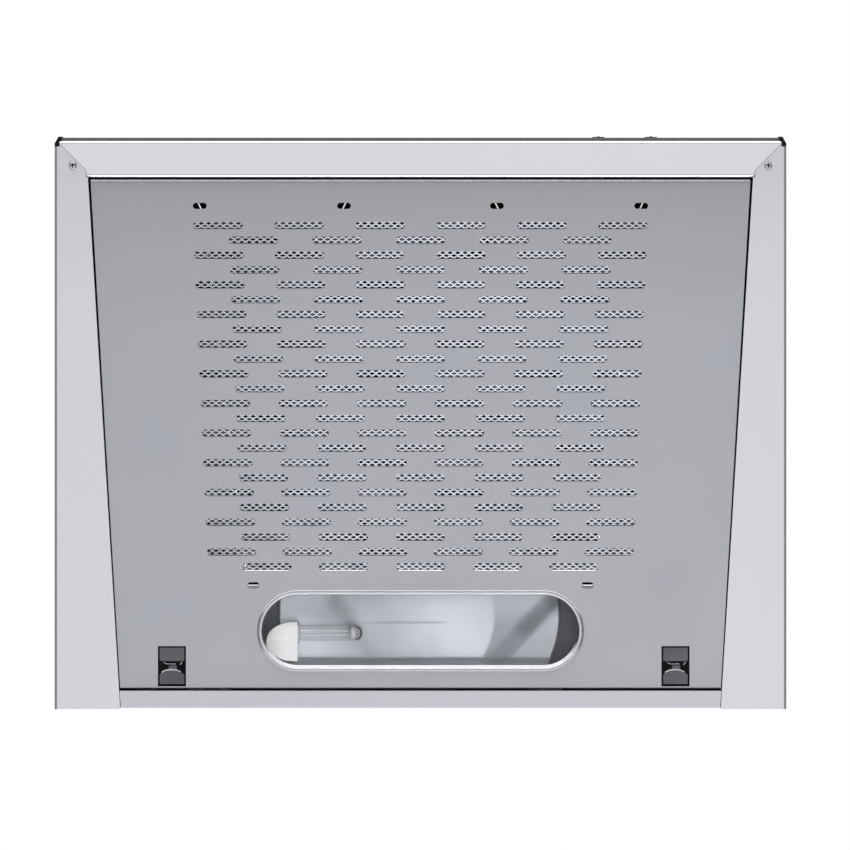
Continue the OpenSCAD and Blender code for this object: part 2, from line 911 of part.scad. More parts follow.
module grille_panel() {
    end_w = 2 * grille_edge(y_grille_end);
    y_bend = y_grille_end - rear_bend_r;
    color("darkgray")
        difference() {
            union() {
                translate([0, 0, z_grille])
                    linear_extrude(grille_t)
                        difference() {
                            polygon([
                                [-grille_edge(y_hinge), y_hinge], [-grille_edge(y_bend), y_bend],
                                [grille_edge(y_bend), y_bend], [grille_edge(y_hinge), y_hinge]
                            ]);
                            slot_field();
                            wire_slots();
                            latch_openings();
                            translate([0, y_lens])
                                stadium(skirt_l + 2 * seat, skirt_w + 2 * seat);
                        }
                translate([0, y_hinge, z_hinge])
                    curl_x(roll_r, grille_t, 2 * grille_edge(y_hinge), -30, 270);
                translate([0, y_bend, z_grille + rear_bend_r])
                    curl_x(rear_bend_r, grille_t, end_w, 270, 360);
                translate([-end_w / 2, y_grille_end - grille_t, z_grille + rear_bend_r])
                    cube([end_w, grille_t, grille_edge_h - rear_bend_r]);
                for (s = [-1, 1])
                    mirror([s < 0 ? 1 : 0, 0, 0])
                        translate([0, 0, z_grille])
                            linear_extrude(grille_edge_h)
                                polygon([
                                    [grille_edge(y_hinge + 8), y_hinge + 8],
                                    [grille_edge(y_bend), y_bend],
                                    [grille_edge(y_bend) - grille_t, y_bend],
                                    [grille_edge(y_hinge + 8) - grille_t, y_hinge + 8]
                                ]);
                wire_hooks();
            }
            for (x = [-latch_left_x, latch_right_x])
                translate([x - latch_w / 2 - latch_lap - latch_play, y_latch + latch_l + seam, z_pan])
                    cube([latch_w + 2 * latch_lap + 2 * latch_play, 6, grille_edge_h]);
        }
}

module hinge_pins() {
    inside = 20;
    color("silver")
        for (s = [-1, 1])
            translate([s * (bracket_x + bracket_t + slack - inside / 2 - 2), y_hinge, z_hinge])
                bar_x(pin_r, inside + 4);
}

module filter_frame() {
    color("silver")
        difference() {
            translate([-filter_w / 2, y_filter, z_filter])
                cube([filter_w, filter_d, filter_t]);
            translate([-filter_w / 2 + filter_rim, y_filter + filter_rim, z_filter - 1])
                cube([filter_w - 2 * filter_rim, filter_d - 2 * filter_rim, filter_t + 2]);
            translate([-filter_w / 2 + filter_skin, y_filter + filter_skin, z_filter + filter_skin])
                cube([filter_w - 2 * filter_skin, filter_d - 2 * filter_skin, filter_t - 2 * filter_skin]);
        }
}

// Pad of the filter: two flat screens with a crimped layer between them
module filter_mesh() {
    in = filter_skin + seat;
    d = filter_d - 2 * in;
    t = filter_t - 2 * in;
    lo = filter_screen;
    hi = t - filter_screen;
    pitch = (d - 2 * filter_screen) / filter_pleats;
    w = filter_screen;
    color("lightgray")
        translate([0, y_filter + in, z_filter + in])
            along_x(filter_w - 2 * in)
                difference() {
                    square([d, t]);
                    for (i = [0:filter_pleats - 1]) {
                        a = filter_screen + i * pitch;
                        polygon([[a + w, lo], [a + pitch - w, lo], [a + pitch / 2, hi - w]]);
                        if (i < filter_pleats - 1)
                            polygon([
                                [a + pitch / 2 + w, hi], [a + pitch * 1.5 - w, hi],
                                [a + pitch, lo + w]
                            ]);
                    }
                }
}

// Path of one retaining wire, from its outer foot round the rear bar to its inner foot
function wire_path() =
    let (
        lean = 2,
        bar = wire_slot_l / 2,
        y_up = y_filter - wire_r - 0.3,
        y_down = y_filter_end + wire_r + 0.3,
        front = [
            [wire_outer_x + lean, y_wire_tip, z_wire_low],
            [wire_outer_x - lean, y_up, z_wire_low],
            [wire_outer_x - lean - 0.3, y_up, z_wire_high]
        ],
        rear = [
            [wire_rear_x + bar, y_down, z_wire_high],
            [wire_rear_x + bar, y_down, z_wire_low + 3],
            [wire_rear_x + bar, y_wire_rear, z_wire_low],
            [wire_rear_x - bar, y_wire_rear, z_wire_low],
            [wire_rear_x - bar, y_down, z_wire_low + 3],
            [wire_rear_x - bar, y_down, z_wire_high]
        ],
        back = [
            [wire_inner_x + lean + 0.3, y_up, z_wire_high],
            [wire_inner_x + lean, y_up, z_wire_low],
            [wire_inner_x - lean, y_wire_tip, z_wire_low]
        ]
    )
    rounded(concat(front, rear, back), 1.2);

module filter_wire_right() {
    color("silver")
        wire(wire_path(), wire_r, 8, [0, 0, 1]);
}

module filter_wire_left() {
    color("silver")
        mirror([1, 0, 0])
            wire(wire_path(), wire_r, 8, [0, 0, 1]);
}

// Half-round bead that runs round the lamp cover
module lens_bead(l, w, r) {
    straight = l - w;
    for (s = [-1, 1]) {
        translate([s * straight / 2, 0, 0])
            rotate([0, 0, s > 0 ? -90 : 90])
                rotate_extrude(angle = 180)
                    translate([w / 2 - r, 0])
                        half_disc(r);
        translate([0, s * (w / 2 - r), 0])
            along_x(straight)
                half_disc(r);
    }
}

module half_disc(r) {
    intersection() {
        circle(r = r);
        translate([-r, -r])
            square([2 * r, r]);
    }
}

module lamp_lens() {
    bead_r = lens_proud;
    clip_h = 1.5;
    clip_out = 1 - skirt_wall / 2;
    z_clip = z_pan + seat + clip_h / 2;
    color([0.85, 0.9, 0.95, 0.5])
        translate([0, y_lens, 0])
            union() {
                translate([0, 0, z_grille - seat / 2])
                    lens_bead(lens_l, lens_w, bead_r - seat / 2);
                translate([0, 0, z_grille - 0.6])
                    linear_extrude(0.55)
                        stadium(lens_l - 2 * bead_r, lens_w - 2 * bead_r);
                translate([0, 0, z_grille - 0.6])
                    linear_extrude(lens_t)
                        stadium(skirt_l, skirt_w);
                translate([0, 0, z_grille - 0.3])
                    linear_extrude(skirt_h + grille_t)
                        difference() {
                            stadium(skirt_l, skirt_w);
                            stadium(skirt_l - 2 * skirt_wall, skirt_w - 2 * skirt_wall);
                        }
                for (sx = [-1, 1], sy = [-1, 1])
                    translate([sx * skirt_l / 4, sy * (skirt_w / 2 + clip_out), z_clip])
                        cube([10, skirt_wall, clip_h], center = true);
            }
}

function latch_x(s) = s < 0 ? -latch_left_x : latch_right_x;

module latch_slider(s) {
    w = latch_w + 2 * latch_lap;
    grip_y = y_latch + latch_l * 0.37;
    grip_l = latch_l * 0.28;
    translate([latch_x(s), 0, 0])
        difference() {
            union() {
                translate([-w / 2, y_slider, z_latch])
                    cube([w, y_tongue - y_slider, latch_t]);
                translate([-spring_r - 1, y_slider, z_latch])
                    cube([2 * spring_r + 2, pusher_l, pusher_h]);
            }
            translate([0, 0, z_latch - 1])
                linear_extrude(1 + latch_t * 0.45)
                    polygon([
                        [-latch_w * 0.38, grip_y], [latch_w * 0.38, grip_y],
                        [latch_w * 0.26, grip_y + grip_l / 2], [latch_w * 0.38, grip_y + grip_l],
                        [-latch_w * 0.38, grip_y + grip_l], [-latch_w * 0.26, grip_y + grip_l / 2]
                    ]);
            for (m = [-1, 1])
                translate([0, 0, z_latch - 1])
                    linear_extrude(latch_t + 2)
                        polygon([
                            [m * latch_w * 0.44, grip_y], [m * latch_w * 0.36, grip_y],
                            [m * latch_w * 0.18, grip_y + grip_l / 2],
                            [m * latch_w * 0.36, grip_y + grip_l], [m * latch_w * 0.44, grip_y + grip_l]
                        ]);
        }
}

module latch_slider_left() {
    color("dimgray")
        latch_slider(-1);
}

module latch_slider_right() {
    color("dimgray")
        latch_slider(1);
}

module latch_guide(s) {
    w = latch_w + 2 * latch_lap + 2 * latch_play;
    y0 = y_spring - guide_wall;
    y1 = y_latch + latch_l - 4;
    translate([latch_x(s), 0, 0])
        difference() {
            translate([-w / 2 - guide_wall, y0, z_pan])
                cube([w + 2 * guide_wall, y1 - y0, z_guide + guide_wall - z_pan]);
            translate([-w / 2, y_slider - slack, z_pan - 1])
                cube([w, y1 - y_slider + 2, z_latch_top + latch_play - z_pan + 1]);
            translate([-spring_r - 1 - latch_play, y_spring, z_pan - 1])
                cube([2 * spring_r + 2 + 2 * latch_play, y1 - y_spring + 1, z_guide - z_pan + 1]);
        }
}

module latch_guide_left() {
    color("dimgray")
        latch_guide(-1);
}

module latch_guide_right() {
    color("dimgray")
        latch_guide(1);
}

// Compression spring along Y, its end coils a wire apart
function spring_path(l) =
    let (steps = 10, r = spring_r - spring_wire_r)
    [for (i = [0:spring_coils * steps])
        let (a = 360 * i / steps)
        [r * cos(a), spring_wire_r + (l - 2 * spring_wire_r) * i / (spring_coils * steps), r * sin(a)]];

module latch_spring(s) {
    translate([latch_x(s), y_spring + seat, z_spring])
        wire(spring_path(spring_l - 2 * seat), spring_wire_r, 6, [1, 0, 0]);
}

module latch_spring_left() {
    color("silver")
        latch_spring(-1);
}

module latch_spring_right() {
    color("silver")
        latch_spring(1);
}

// Lamp

module lamp_reflector() {
    wall = 0.8;
    lip = 4;
    arm_w = 60;
    z_top = z_tray + tray_h;
    y_back = y_wall - 2 * sheet_t - seat;
    color("whitesmoke")
        difference() {
            union() {
                translate([0, y_lens, z_tray])
                    linear_extrude(tray_h)
                        stadium(tray_l, tray_w);
                translate([0, y_lens, z_tray])
                    linear_extrude(wall)
                        stadium(tray_l + 2 * lip, tray_w + 2 * lip);
                translate([-arm_w / 2, y_lens, z_top - wall])
                    cube([arm_w, y_back - y_lens, wall]);
                translate([-arm_w / 2, y_back - wall, z_top - 16])
                    cube([arm_w, wall, 16]);
            }
            translate([0, y_lens, z_tray - 1])
                linear_extrude(tray_h - wall + 1)
                    stadium(tray_l - 2 * wall, tray_w - 2 * wall);
        }
}

module lamp_holder() {
    y_axis = y_lens + 2;
    z_low = lamp_z - holder_drop;
    z_under_roof = z_tray + tray_h - 0.8;
    straight = 4;
    color("white")
        difference() {
            translate([bulb_x, y_axis + holder_w / 2 - bulb_r - 2.5, z_low])
                linear_extrude(z_under_roof - z_low)
                    polygon(concat(
                        [[0, -holder_w / 2], [0, holder_w / 2]],
                        [for (a = [90:7.5:270])
                            [(holder_l - straight) * cos(a) - straight, holder_w / 2 * sin(a)]]
                    ));
            translate([bulb_x - 6, y_axis, lamp_z])
                bar_x(bulb_r + 0.3, 14);
        }
}

module lamp_bulb() {
    base_l = 12;
    color("white")
        translate([bulb_x, y_lens + 2, lamp_z])
            rotate([0, 90, 0])
                rotate_extrude()
                    polygon(concat(
                        [[0, -base_l], [bulb_r * 0.5, -base_l], [bulb_r, -base_l + 3]],
                        [[bulb_r, bulb_l - bulb_r]],
                        [for (a = [10:10:80]) [bulb_r * cos(a), bulb_l - bulb_r + bulb_r * sin(a)]],
                        [[0, bulb_l]]
                    ));
}

// Blower

// Scroll outline: a spiral round the impeller that runs into the plenum under the duct
module scroll_outline(extra) {
    steps = 44;
    turns = 20;
    start = cutoff(extra);
    spiral = [
        for (i = [0:steps])
            let (a = start + (360 - start) * i / steps, r = spiral_r(a, extra))
            [x_fan + r * cos(a), y_fan + r * sin(a)]
    ];
    plenum = [
        for (i = [0:turns])
            let (a = 180 * i / turns)
            [(plenum_r + extra) * cos(a), y_duct + (plenum_r + extra) * sin(a)]
    ];
    polygon(concat(spiral, plenum));
}

// Wall of the scroll, out to a given distance from its inside
module scroll_ring(extra) {
    difference() {
        scroll_outline(extra);
        scroll_outline(0);
    }
}

// Ears that the blower hangs from
module scroll_ears() {
    for (p = concat(fan_screw_spots, collar_screw_spots))
        translate(p)
            circle(r = ear_r);
}

module scroll_base() {
    color("gray")
        difference() {
            union() {
                translate([0, 0, z_blower])
                    linear_extrude(scroll_wall)
                        scroll_outline(scroll_wall);
                translate([0, 0, z_blower])
                    linear_extrude(z_split - z_blower)
                        scroll_ring(scroll_wall);
                translate([0, 0, z_split - rim_t])
                    linear_extrude(rim_t)
                        scroll_ring(scroll_wall + rim_w);
            }
            translate([x_fan, y_fan, z_blower - 1])
                cylinder(r = inlet_r + 3, h = scroll_wall + 2);
        }
}

module scroll_cover() {
    color("gray")
        difference() {
            union() {
                translate([0, 0, z_blower_top - scroll_wall])
                    linear_extrude(scroll_wall)
                        difference() {
                            union() {
                                scroll_outline(scroll_wall);
                                scroll_ears();
                            }
                            translate([x_fan, y_fan])
                                circle(r = dish_r);
                            translate([0, y_duct])
                                circle(r = spigot_r + slack);
                        }
                translate([0, 0, z_split + seat])
                    linear_extrude(z_blower_top - z_split - seat)
                        scroll_ring(scroll_wall);
                translate([0, 0, z_split + seat])
                    linear_extrude(rim_t)
                        scroll_ring(scroll_wall + rim_w);
                translate([x_fan, y_fan, z_motor_top])
                    linear_extrude(dish_drop + scroll_wall)
                        difference() {
                            circle(r = dish_r + scroll_wall);
                            circle(r = dish_r);
                        }
                translate([x_fan, y_fan, z_motor_top])
                    cylinder(r = dish_r + scroll_wall, h = scroll_wall);
            }
            for (a = [30:120:270])
                translate([x_fan, y_fan, z_motor_top - 1])
                    rotate([0, 0, a])
                        translate([motor_r - 8, 0, 0])
                            cylinder(r = screw_r + 0.2, h = scroll_wall + 2);
            for (p = concat(fan_screw_spots, collar_screw_spots))
                translate([p[0], p[1], z_blower_top - scroll_wall - 1])
                    cylinder(r = screw_r, h = scroll_wall + 2);
        }
}

module inlet_ring() {
    color("gray")
        translate([x_fan, y_fan, z_blower])
            rotate_extrude($fn = 96)
                polygon(concat(
                    [[inlet_r + 9, -0.1], [inlet_r + 9, -2], [inlet_r + 4, -2]],
                    [for (a = [0:15:90]) [inlet_r + 4 - 4 * sin(a), -2 + 4 * (1 - cos(a))]],
                    [[inlet_r, 5], [inlet_r + 1.6, 5], [inlet_r + 2.8, -0.1]]
                ));
}

module fan_motor() {
    edge = 5;
    color("silver")
        difference() {
            union() {
                translate([x_fan, y_fan, z_motor])
                    rotate_extrude($fn = 96)
                        polygon([
                            [0, 0], [motor_r - edge, 0], [motor_r - edge * 0.3, edge * 0.3],
                            [motor_r, edge], [motor_r, motor_h - seat], [0, motor_h - seat]
                        ]);
                translate([x_fan, y_fan, z_motor - 3])
                    cylinder(r = 9, h = 4);
            }
            translate([x_fan, y_fan, z_motor - 4])
                cylinder(r = shaft_r + running_gap, h = 24);
            for (a = [30:120:270])
                translate([x_fan, y_fan, z_motor_top - motor_screw_l - 2])
                    rotate([0, 0, a])
                        translate([motor_r - 8, 0, 0])
                            cylinder(r = screw_r + seat, h = motor_screw_l + 3);
        }
}

module motor_screws() {
    color("silver")
        for (a = [30:120:270])
            translate([x_fan, y_fan, z_motor_top + scroll_wall])
                rotate([0, 0, a])
                    translate([motor_r - 8, 0, 0])
                        pan_screw(screw_r, motor_screw_l, screw_head_r, screw_head_h);
}

module fan_shaft() {
    color("silver")
        translate([x_fan, y_fan, z_hub - 11])
            cylinder(r = shaft_r, h = z_motor + 18 - z_hub + 11);
}

// One forward-curved blade as an arc of a drum
module blade_arc() {
    r_in = impeller_r - 15;
    blade_r = 11;
    thick = 1.2;
    outer = [for (a = [200:-18.25:90]) [cos(a), sin(a)]];
    inner = [for (a = [90.5:18.25:200]) [cos(a), sin(a)]];
    translate([r_in + blade_r, -blade_r * 0.4])
        polygon(concat(blade_r * outer, (blade_r - thick) * inner));
}

module impeller() {
    ring_t = 1.6;
    r_in = impeller_r - 15;
    z_plate = z_impeller + impeller_h - ring_t;
    color("dimgray")
        translate([x_fan, y_fan, 0])
            difference() {
                union() {
                    translate([0, 0, z_impeller + ring_t / 2])
                        linear_extrude(impeller_h - ring_t)
                            intersection() {
                                for (k = [0:blade_count - 1])
                                    rotate([0, 0, 360 * k / blade_count])
                                        blade_arc();
                                difference() {
                                    circle(r = impeller_r - 0.5);
                                    circle(r = r_in + 0.5);
                                }
                            }
                    translate([0, 0, z_impeller])
                        linear_extrude(ring_t)
                            difference() {
                                circle(r = impeller_r, $fn = 96);
                                circle(r = impeller_r - 5, $fn = 96);
                            }
                    translate([0, 0, z_plate])
                        linear_extrude(ring_t)
                            difference() {
                                circle(r = impeller_r, $fn = 96);
                                circle(r = hub_r, $fn = 96);
                            }
                    translate([0, 0, z_hub])
                        linear_extrude(z_plate + ring_t - z_hub)
                            difference() {
                                circle(r = hub_r + hub_wall, $fn = 96);
                                circle(r = hub_r, $fn = 96);
                            }
                    translate([0, 0, z_hub])
                        cylinder(r = hub_r + hub_wall, h = hub_wall, $fn = 96);
                    translate([0, 0, z_hub - 5])
                        cylinder(r = 10, h = 7);
                }
                translate([0, 0, z_hub - 6])
                    cylinder(r = shaft_r + running_gap / 2, h = 10);
            }
}

module shaft_nut() {
    color("silver")
        translate([x_fan, y_fan, z_hub - 5 - seat - 4])
            difference() {
                cylinder(r = shaft_r * 2, h = 4, $fn = 6);
                translate([0, 0, -1])
                    cylinder(r = shaft_r, h = 6);
            }
}

module fan_screws() {
    color("silver")
        for (p = fan_screw_spots)
            translate([p[0], p[1], casing_h])
                pan_screw(screw_r, screw_l, screw_head_r, screw_head_h);
}

// Duct collar and flaps

module duct_collar() {
    color("dimgray")
        difference() {
            union() {
                translate([0, y_duct, casing_h])
                    cylinder(r = collar_flange_r, h = collar_flange_t, $fn = 96);
                translate([0, y_duct, casing_h])
                    cylinder(r = duct_r, h = duct_h, $fn = 96);
                translate([0, y_duct, z_roof - 6])
                    cylinder(r = spigot_r, h = 8, $fn = 96);
            }
            translate([0, y_duct, z_roof - 7])
                cylinder(r = duct_bore - 3, h = duct_h + 20, $fn = 96);
            translate([0, y_duct, z_flap_pin - knuckle_r - seat])
                cylinder(r = duct_bore, h = duct_h, $fn = 96);
            translate([0, y_duct, z_flap_pin])
                bar_x(flap_pin_r, 2 * duct_r + 2);
            for (p = collar_screw_spots)
                translate([p[0], p[1], casing_h - 1])
                    cylinder(r = screw_r + 0.2, h = collar_flange_t + 2);
        }
}

module collar_screws() {
    color("silver")
        for (p = collar_screw_spots)
            translate([p[0], p[1], casing_h + collar_flange_t])
                pan_screw(screw_r, collar_screw_l, screw_head_r, screw_head_h);
}

module flap_pin() {
    color("silver")
        translate([0, y_duct, z_flap_pin])
            bar_x(flap_pin_r, 2 * duct_r - 1);
}

// Half-round flap; front one with s = -1, rear one with s = 1
module flap(s) {
    z0 = z_flap_pin - knuckle_r;
    clear = knuckle_r + slack;
    own = s > 0 ? [-1.5, 0.5] : [-0.5, 1.5];
    pitch = knuckle_l + slack;
    translate([0, y_duct, 0])
        difference() {
            union() {
                translate([0, 0, z0])
                    linear_extrude(flap_t)
                        difference() {
                            circle(r = flap_r, $fn = 96);
                            translate([-flap_r - 1, s > 0 ? -2 * flap_r + clear : -clear])
                                square([2 * flap_r + 2, 2 * flap_r]);
                        }
                for (k = own)
                    translate([k * pitch, 0, 0]) {
                        translate([0, 0, z_flap_pin])
                            bar_x(knuckle_r, knuckle_l);
                        translate([-knuckle_l / 2, s > 0 ? 0 : -clear - 1, z0])
                            cube([knuckle_l, clear + 1, flap_t]);
                    }
            }
            translate([0, 0, z_flap_pin])
                bar_x(flap_pin_r + running_gap, 2 * duct_r);
        }
}

module flap_front() {
    color("gray")
        flap(-1);
}

module flap_rear() {
    color("gray")
        flap(1);
}

// Electrics

module terminal_box() {
    color("whitesmoke")
        difference() {
            translate([-box_x - box_w / 2, y_box, z_box + lid_t + seat])
                cube([box_w, box_d, box_h - lid_t - seat]);
            translate([-box_x - box_w / 2 + box_wall, y_box + box_wall, z_box - 1])
                cube([box_w - 2 * box_wall, box_d - 2 * box_wall, box_h - box_wall + 1]);
            translate([-box_x, y_box + box_d / 2, z_roof - 10])
                cylinder(r = gland_r + 4 + seat, h = 20);
        }
}

module terminal_lid() {
    color("whitesmoke")
        difference() {
            translate([-box_x - box_w / 2, y_box, z_box])
                cube([box_w, box_d, lid_t]);
            lid_screw_spots()
                translate([0, 0, -1])
                    cylinder(r = lid_screw_r + seat, h = lid_t + 2);
        }
}

module lid_screw_spots() {
    for (sx = [-1, 1])
        translate([-box_x + sx * (box_w / 2 - 7), y_box + box_d / 2, z_box])
            children();
}

module lid_screws() {
    color("silver")
        lid_screw_spots()
            mirror([0, 0, 1])
                pan_screw(lid_screw_r, lid_screw_l, lid_screw_r * 2, lid_screw_r * 1.25);
}

module terminal_block() {
    w = 36;
    z0 = z_box + box_h - box_wall - 15;
    color("ivory")
        difference() {
            translate([-box_x - w / 2, y_box + box_wall + 1, z0])
                cube([w, 16, 15 - seat]);
            for (k = [-1:1])
                translate([-box_x + k * 11, y_box + box_wall, z0 + 6])
                    bar_y(2, 18);
        }
}

module motor_capacitor() {
    r = 14;
    l = 48;
    x = plenum_r + scroll_wall + 40;
    y = y_wall - 2 * sheet_t - seat - r - 2;
    color("whitesmoke")
        union() {
            translate([x, y, z_roof - seat - l])
                rotate_extrude()
                    polygon([[0, 0], [r - 2, 0], [r, 2], [r, l - 2], [r - 2, l], [0, l]]);
            translate([x, y, z_roof - seat - l - 6])
                cylinder(r = 3, h = 7);
        }
}

module cable_gland() {
    color("black")
        difference() {
            union() {
                translate([-box_x, y_box + box_d / 2, casing_h])
                    cylinder(r = gland_r + 7, h = 4);
                translate([-box_x, y_box + box_d / 2, casing_h + 4])
                    cylinder(r1 = gland_r + 5, r2 = gland_r + 2, h = 10);
                translate([-box_x, y_box + box_d / 2, z_roof - 8])
                    cylinder(r = gland_r + 4, h = 10);
            }
            translate([-box_x, y_box + box_d / 2, z_roof - 9])
                cylinder(r = gland_r, h = 30);
        }
}

side_panel_left();
side_panel_right();
front_panel();
back_panel();
top_panel();
control_fascia();
end_cap_left();
end_cap_right();
corner_screws();
hinge_brackets();
light_slider();
speed_slider();
light_switch();
speed_switch();
grille_panel();
hinge_pins();
filter_frame();
filter_mesh();
filter_wire_left();
filter_wire_right();
lamp_lens();
latch_slider_left();
latch_slider_right();
latch_guide_left();
latch_guide_right();
latch_spring_left();
latch_spring_right();
lamp_reflector();
lamp_holder();
lamp_bulb();
scroll_base();
scroll_cover();
inlet_ring();
fan_motor();
motor_screws();
fan_shaft();
impeller();
shaft_nut();
fan_screws();
duct_collar();
collar_screws();
flap_pin();
flap_front();
flap_rear();
terminal_box();
terminal_lid();
lid_screws();
terminal_block();
motor_capacitor();
cable_gland();
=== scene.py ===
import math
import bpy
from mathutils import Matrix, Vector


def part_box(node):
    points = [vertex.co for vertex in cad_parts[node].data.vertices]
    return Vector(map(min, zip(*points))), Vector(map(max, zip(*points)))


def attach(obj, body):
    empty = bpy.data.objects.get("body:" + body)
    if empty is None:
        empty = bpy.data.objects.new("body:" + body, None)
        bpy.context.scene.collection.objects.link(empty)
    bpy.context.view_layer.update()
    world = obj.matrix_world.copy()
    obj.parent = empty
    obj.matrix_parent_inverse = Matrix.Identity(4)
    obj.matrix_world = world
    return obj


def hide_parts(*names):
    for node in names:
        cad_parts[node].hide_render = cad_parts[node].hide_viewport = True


bl_info = {
    "name": "Range Hood",
    "version": (1, 0, 0),
    "blender": (4, 5, 0),
    "location": "3D View > Sidebar > Hood",
    "description": "Finishes the solids of an under-cabinet range hood and makes its fine pieces",
    "category": "Object",
}

import bpy
import bmesh
from bpy.props import FloatProperty, FloatVectorProperty, PointerProperty
from mathutils import Vector

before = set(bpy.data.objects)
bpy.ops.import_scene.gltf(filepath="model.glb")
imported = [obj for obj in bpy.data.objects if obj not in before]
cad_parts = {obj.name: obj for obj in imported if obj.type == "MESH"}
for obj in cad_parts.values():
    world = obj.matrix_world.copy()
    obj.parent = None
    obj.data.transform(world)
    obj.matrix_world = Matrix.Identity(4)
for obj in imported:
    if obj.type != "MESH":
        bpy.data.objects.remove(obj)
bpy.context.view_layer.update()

MM = 0.001


# Colour and node helpers

def linear(code):
    """Linear colour with alpha from an sRGB hex code."""
    parts = [int(code[i:i + 2], 16) / 255 for i in (1, 3, 5)]
    return tuple(c / 12.92 if c <= 0.04045 else ((c + 0.055) / 1.055) ** 2.4
                 for c in parts) + (1.0,)


def add(tree, kind, sockets=None, **settings):
    """Add one node; sockets gives each input a value or the output that feeds it."""
    node = tree.nodes.new(kind)
    for key, value in settings.items():
        setattr(node, key, value)
    for key, value in (sockets or {}).items():
        if isinstance(value, bpy.types.NodeSocket):
            tree.links.new(value, node.inputs[key])
        else:
            node.inputs[key].default_value = value
    return node


def colour(name, text, code):
    """A colour property whose default is an sRGB hex code."""
    return FloatVectorProperty(name=name, description=text, subtype="COLOR", size=4,
                               min=0.0, max=1.0, default=linear(code))


def length(name, text, size):
    """A length property whose default is in millimetres."""
    return FloatProperty(name=name, description=text, subtype="DISTANCE", unit="LENGTH",
                         min=0.0, default=size * MM)


def power(name, text, watts):
    """A lamp's power."""
    return FloatProperty(name=name, description=text, subtype="POWER", unit="POWER", min=0.0,
                         default=watts)


# Settings

class HoodFinish(bpy.types.PropertyGroup):
    """Colours of the hood's finishes."""
    casing: colour("Casing", "Powder coat of the front and top panels", "#DCDDE1")
    # Side strips: the casing's coat a little darker and more lilac; the darkening is painted shade.
    strip: colour("Side strips", "Powder coat of the side panels underneath", "#D6D4DB")
    # Sides: painted shade, a darker copy of the casing's coat for the outsides beyond the bend.
    side: colour("Sides", "Enamel on the outside of the side panels", "#8A888E")
    # Rear rail: the casing's coat laid darker as painted shade, for light falling off toward the
    # rear.
    rail: colour("Rear rail", "Powder coat of the back panel", "#C0BEC6")
    grille: colour("Grille", "Powder coat of the grille panel", "#A3A5AB")
    fascia: colour("Fascia", "Satin coat of the control fascia", "#46474B")
    cap: colour("End caps", "Moulded end caps and cable gland", "#050506")
    knob: colour("Knobs", "Moulded slider knobs", "#77777B")
    latch: colour("Latches", "Moulded finger pads of the latches", "#35363E")
    # Carriers: near black as painted shade; the carrier and guides are the pads' plastic, shaded in
    # the grille's opening.
    carrier: colour("Carriers", "Moulded latch carriers and guides", "#08080A")
    blower: colour("Blower", "Moulded blower housing and impeller", "#3A3B3F")


class HoodSizes(bpy.types.PropertyGroup):
    """Sizes of the fine pieces."""
    strand_pitch: length("Strand pitch", "Width of one opening of the filter's mesh", 6.1)
    strand_row: length("Row pitch", "Distance between the mesh's staggered rows", 2.2)
    strand_width: length("Strand width", "Width of one strand of the mesh", 1.15)
    foil: length("Foil", "Thickness of the mesh's strands", 0.45)
    screw_head: length("Screw head", "Radius of the corner screws' heads", 2.9)
    screw_dome: length("Screw dome", "How far the corner screws' heads stand out", 1.3)
    cover_bead: length("Cover bead", "How far the lamp cover stands below the grille", 1.4)
    liner_sheet: length("Liner sheet", "Thickness of the reflector's liner", 0.8)


class HoodStudio(bpy.types.PropertyGroup):
    """Camera, lamps and floor."""
    distance: length("Camera distance", "From the camera to the underside", 12000)
    width: length("Picture width", "Width that the picture spans at the underside", 696.8)
    floor: length("Floor drop", "From the underside down to the floor", 470)
    sky: FloatProperty(name="Sky", description="Level of the soft light from all sides",
                       min=0.0, default=0.30)
    below: power("Lamp below", "Lamp under the hood, a little to the rear and the right", 27.5)
    front: power("Front lamp", "Lamp before the front edge", 50.0)
    rear: power("Rear lamp", "Lamp behind the wall side", 42.0)
    top: power("Top lamp", "Lamp above the hood", 33.0)


# Finishes

def finish(name, low, high, cloud, grain, height, rough, metallic=0.0, stretch=(1, 1, 1),
           cells=False, coat=0.0, shine=0.5):
    """A surface with colour clouds and a fine relief, their sizes given in millimetres.

    Returns the material, its node tree and its main shader.
    """
    mat = bpy.data.materials.new(name)
    mat.use_nodes = True
    tree = mat.node_tree
    tree.nodes.clear()
    place = add(tree, "ShaderNodeTexCoord").outputs["Object"]
    along = add(tree, "ShaderNodeMapping", {"Vector": place, "Scale": stretch}).outputs["Vector"]
    clouds = add(tree, "ShaderNodeTexNoise",
                 {"Vector": along, "Scale": 1000 / cloud, "Detail": 3.0})
    if cells:
        relief = add(tree, "ShaderNodeTexVoronoi", {"Vector": along, "Scale": 1000 / grain},
                     feature="F1")
        level = relief.outputs["Distance"]
        tint = relief.outputs["Color"]
    else:
        relief = add(tree, "ShaderNodeTexNoise",
                     {"Vector": along, "Scale": 1000 / grain, "Detail": 2.0})
        level = relief.outputs["Fac"]
        tint = clouds.outputs["Fac"]
    share = add(tree, "ShaderNodeMapRange", {"Value": tint, "From Min": 0.3, "From Max": 0.7})
    shade = add(tree, "ShaderNodeMix", {"Factor": share.outputs["Result"], 6: linear(low),
                                        7: linear(high)}, data_type="RGBA")
    gloss = add(tree, "ShaderNodeMapRange",
                {"Value": clouds.outputs["Fac"], "From Min": 0.3, "From Max": 0.7,
                 "To Min": rough[0], "To Max": rough[1]})
    bump = add(tree, "ShaderNodeBump", {"Height": level, "Distance": height * MM, "Strength": 1.0})
    shader = add(tree, "ShaderNodeBsdfPrincipled",
                 {"Base Color": shade.outputs[2], "Roughness": gloss.outputs["Result"],
                  "Metallic": metallic, "Coat Weight": coat, "Specular IOR Level": shine,
                  "Normal": bump.outputs["Normal"]})
    add(tree, "ShaderNodeOutputMaterial", {"Surface": shader.outputs["BSDF"]})
    return mat, tree, shader


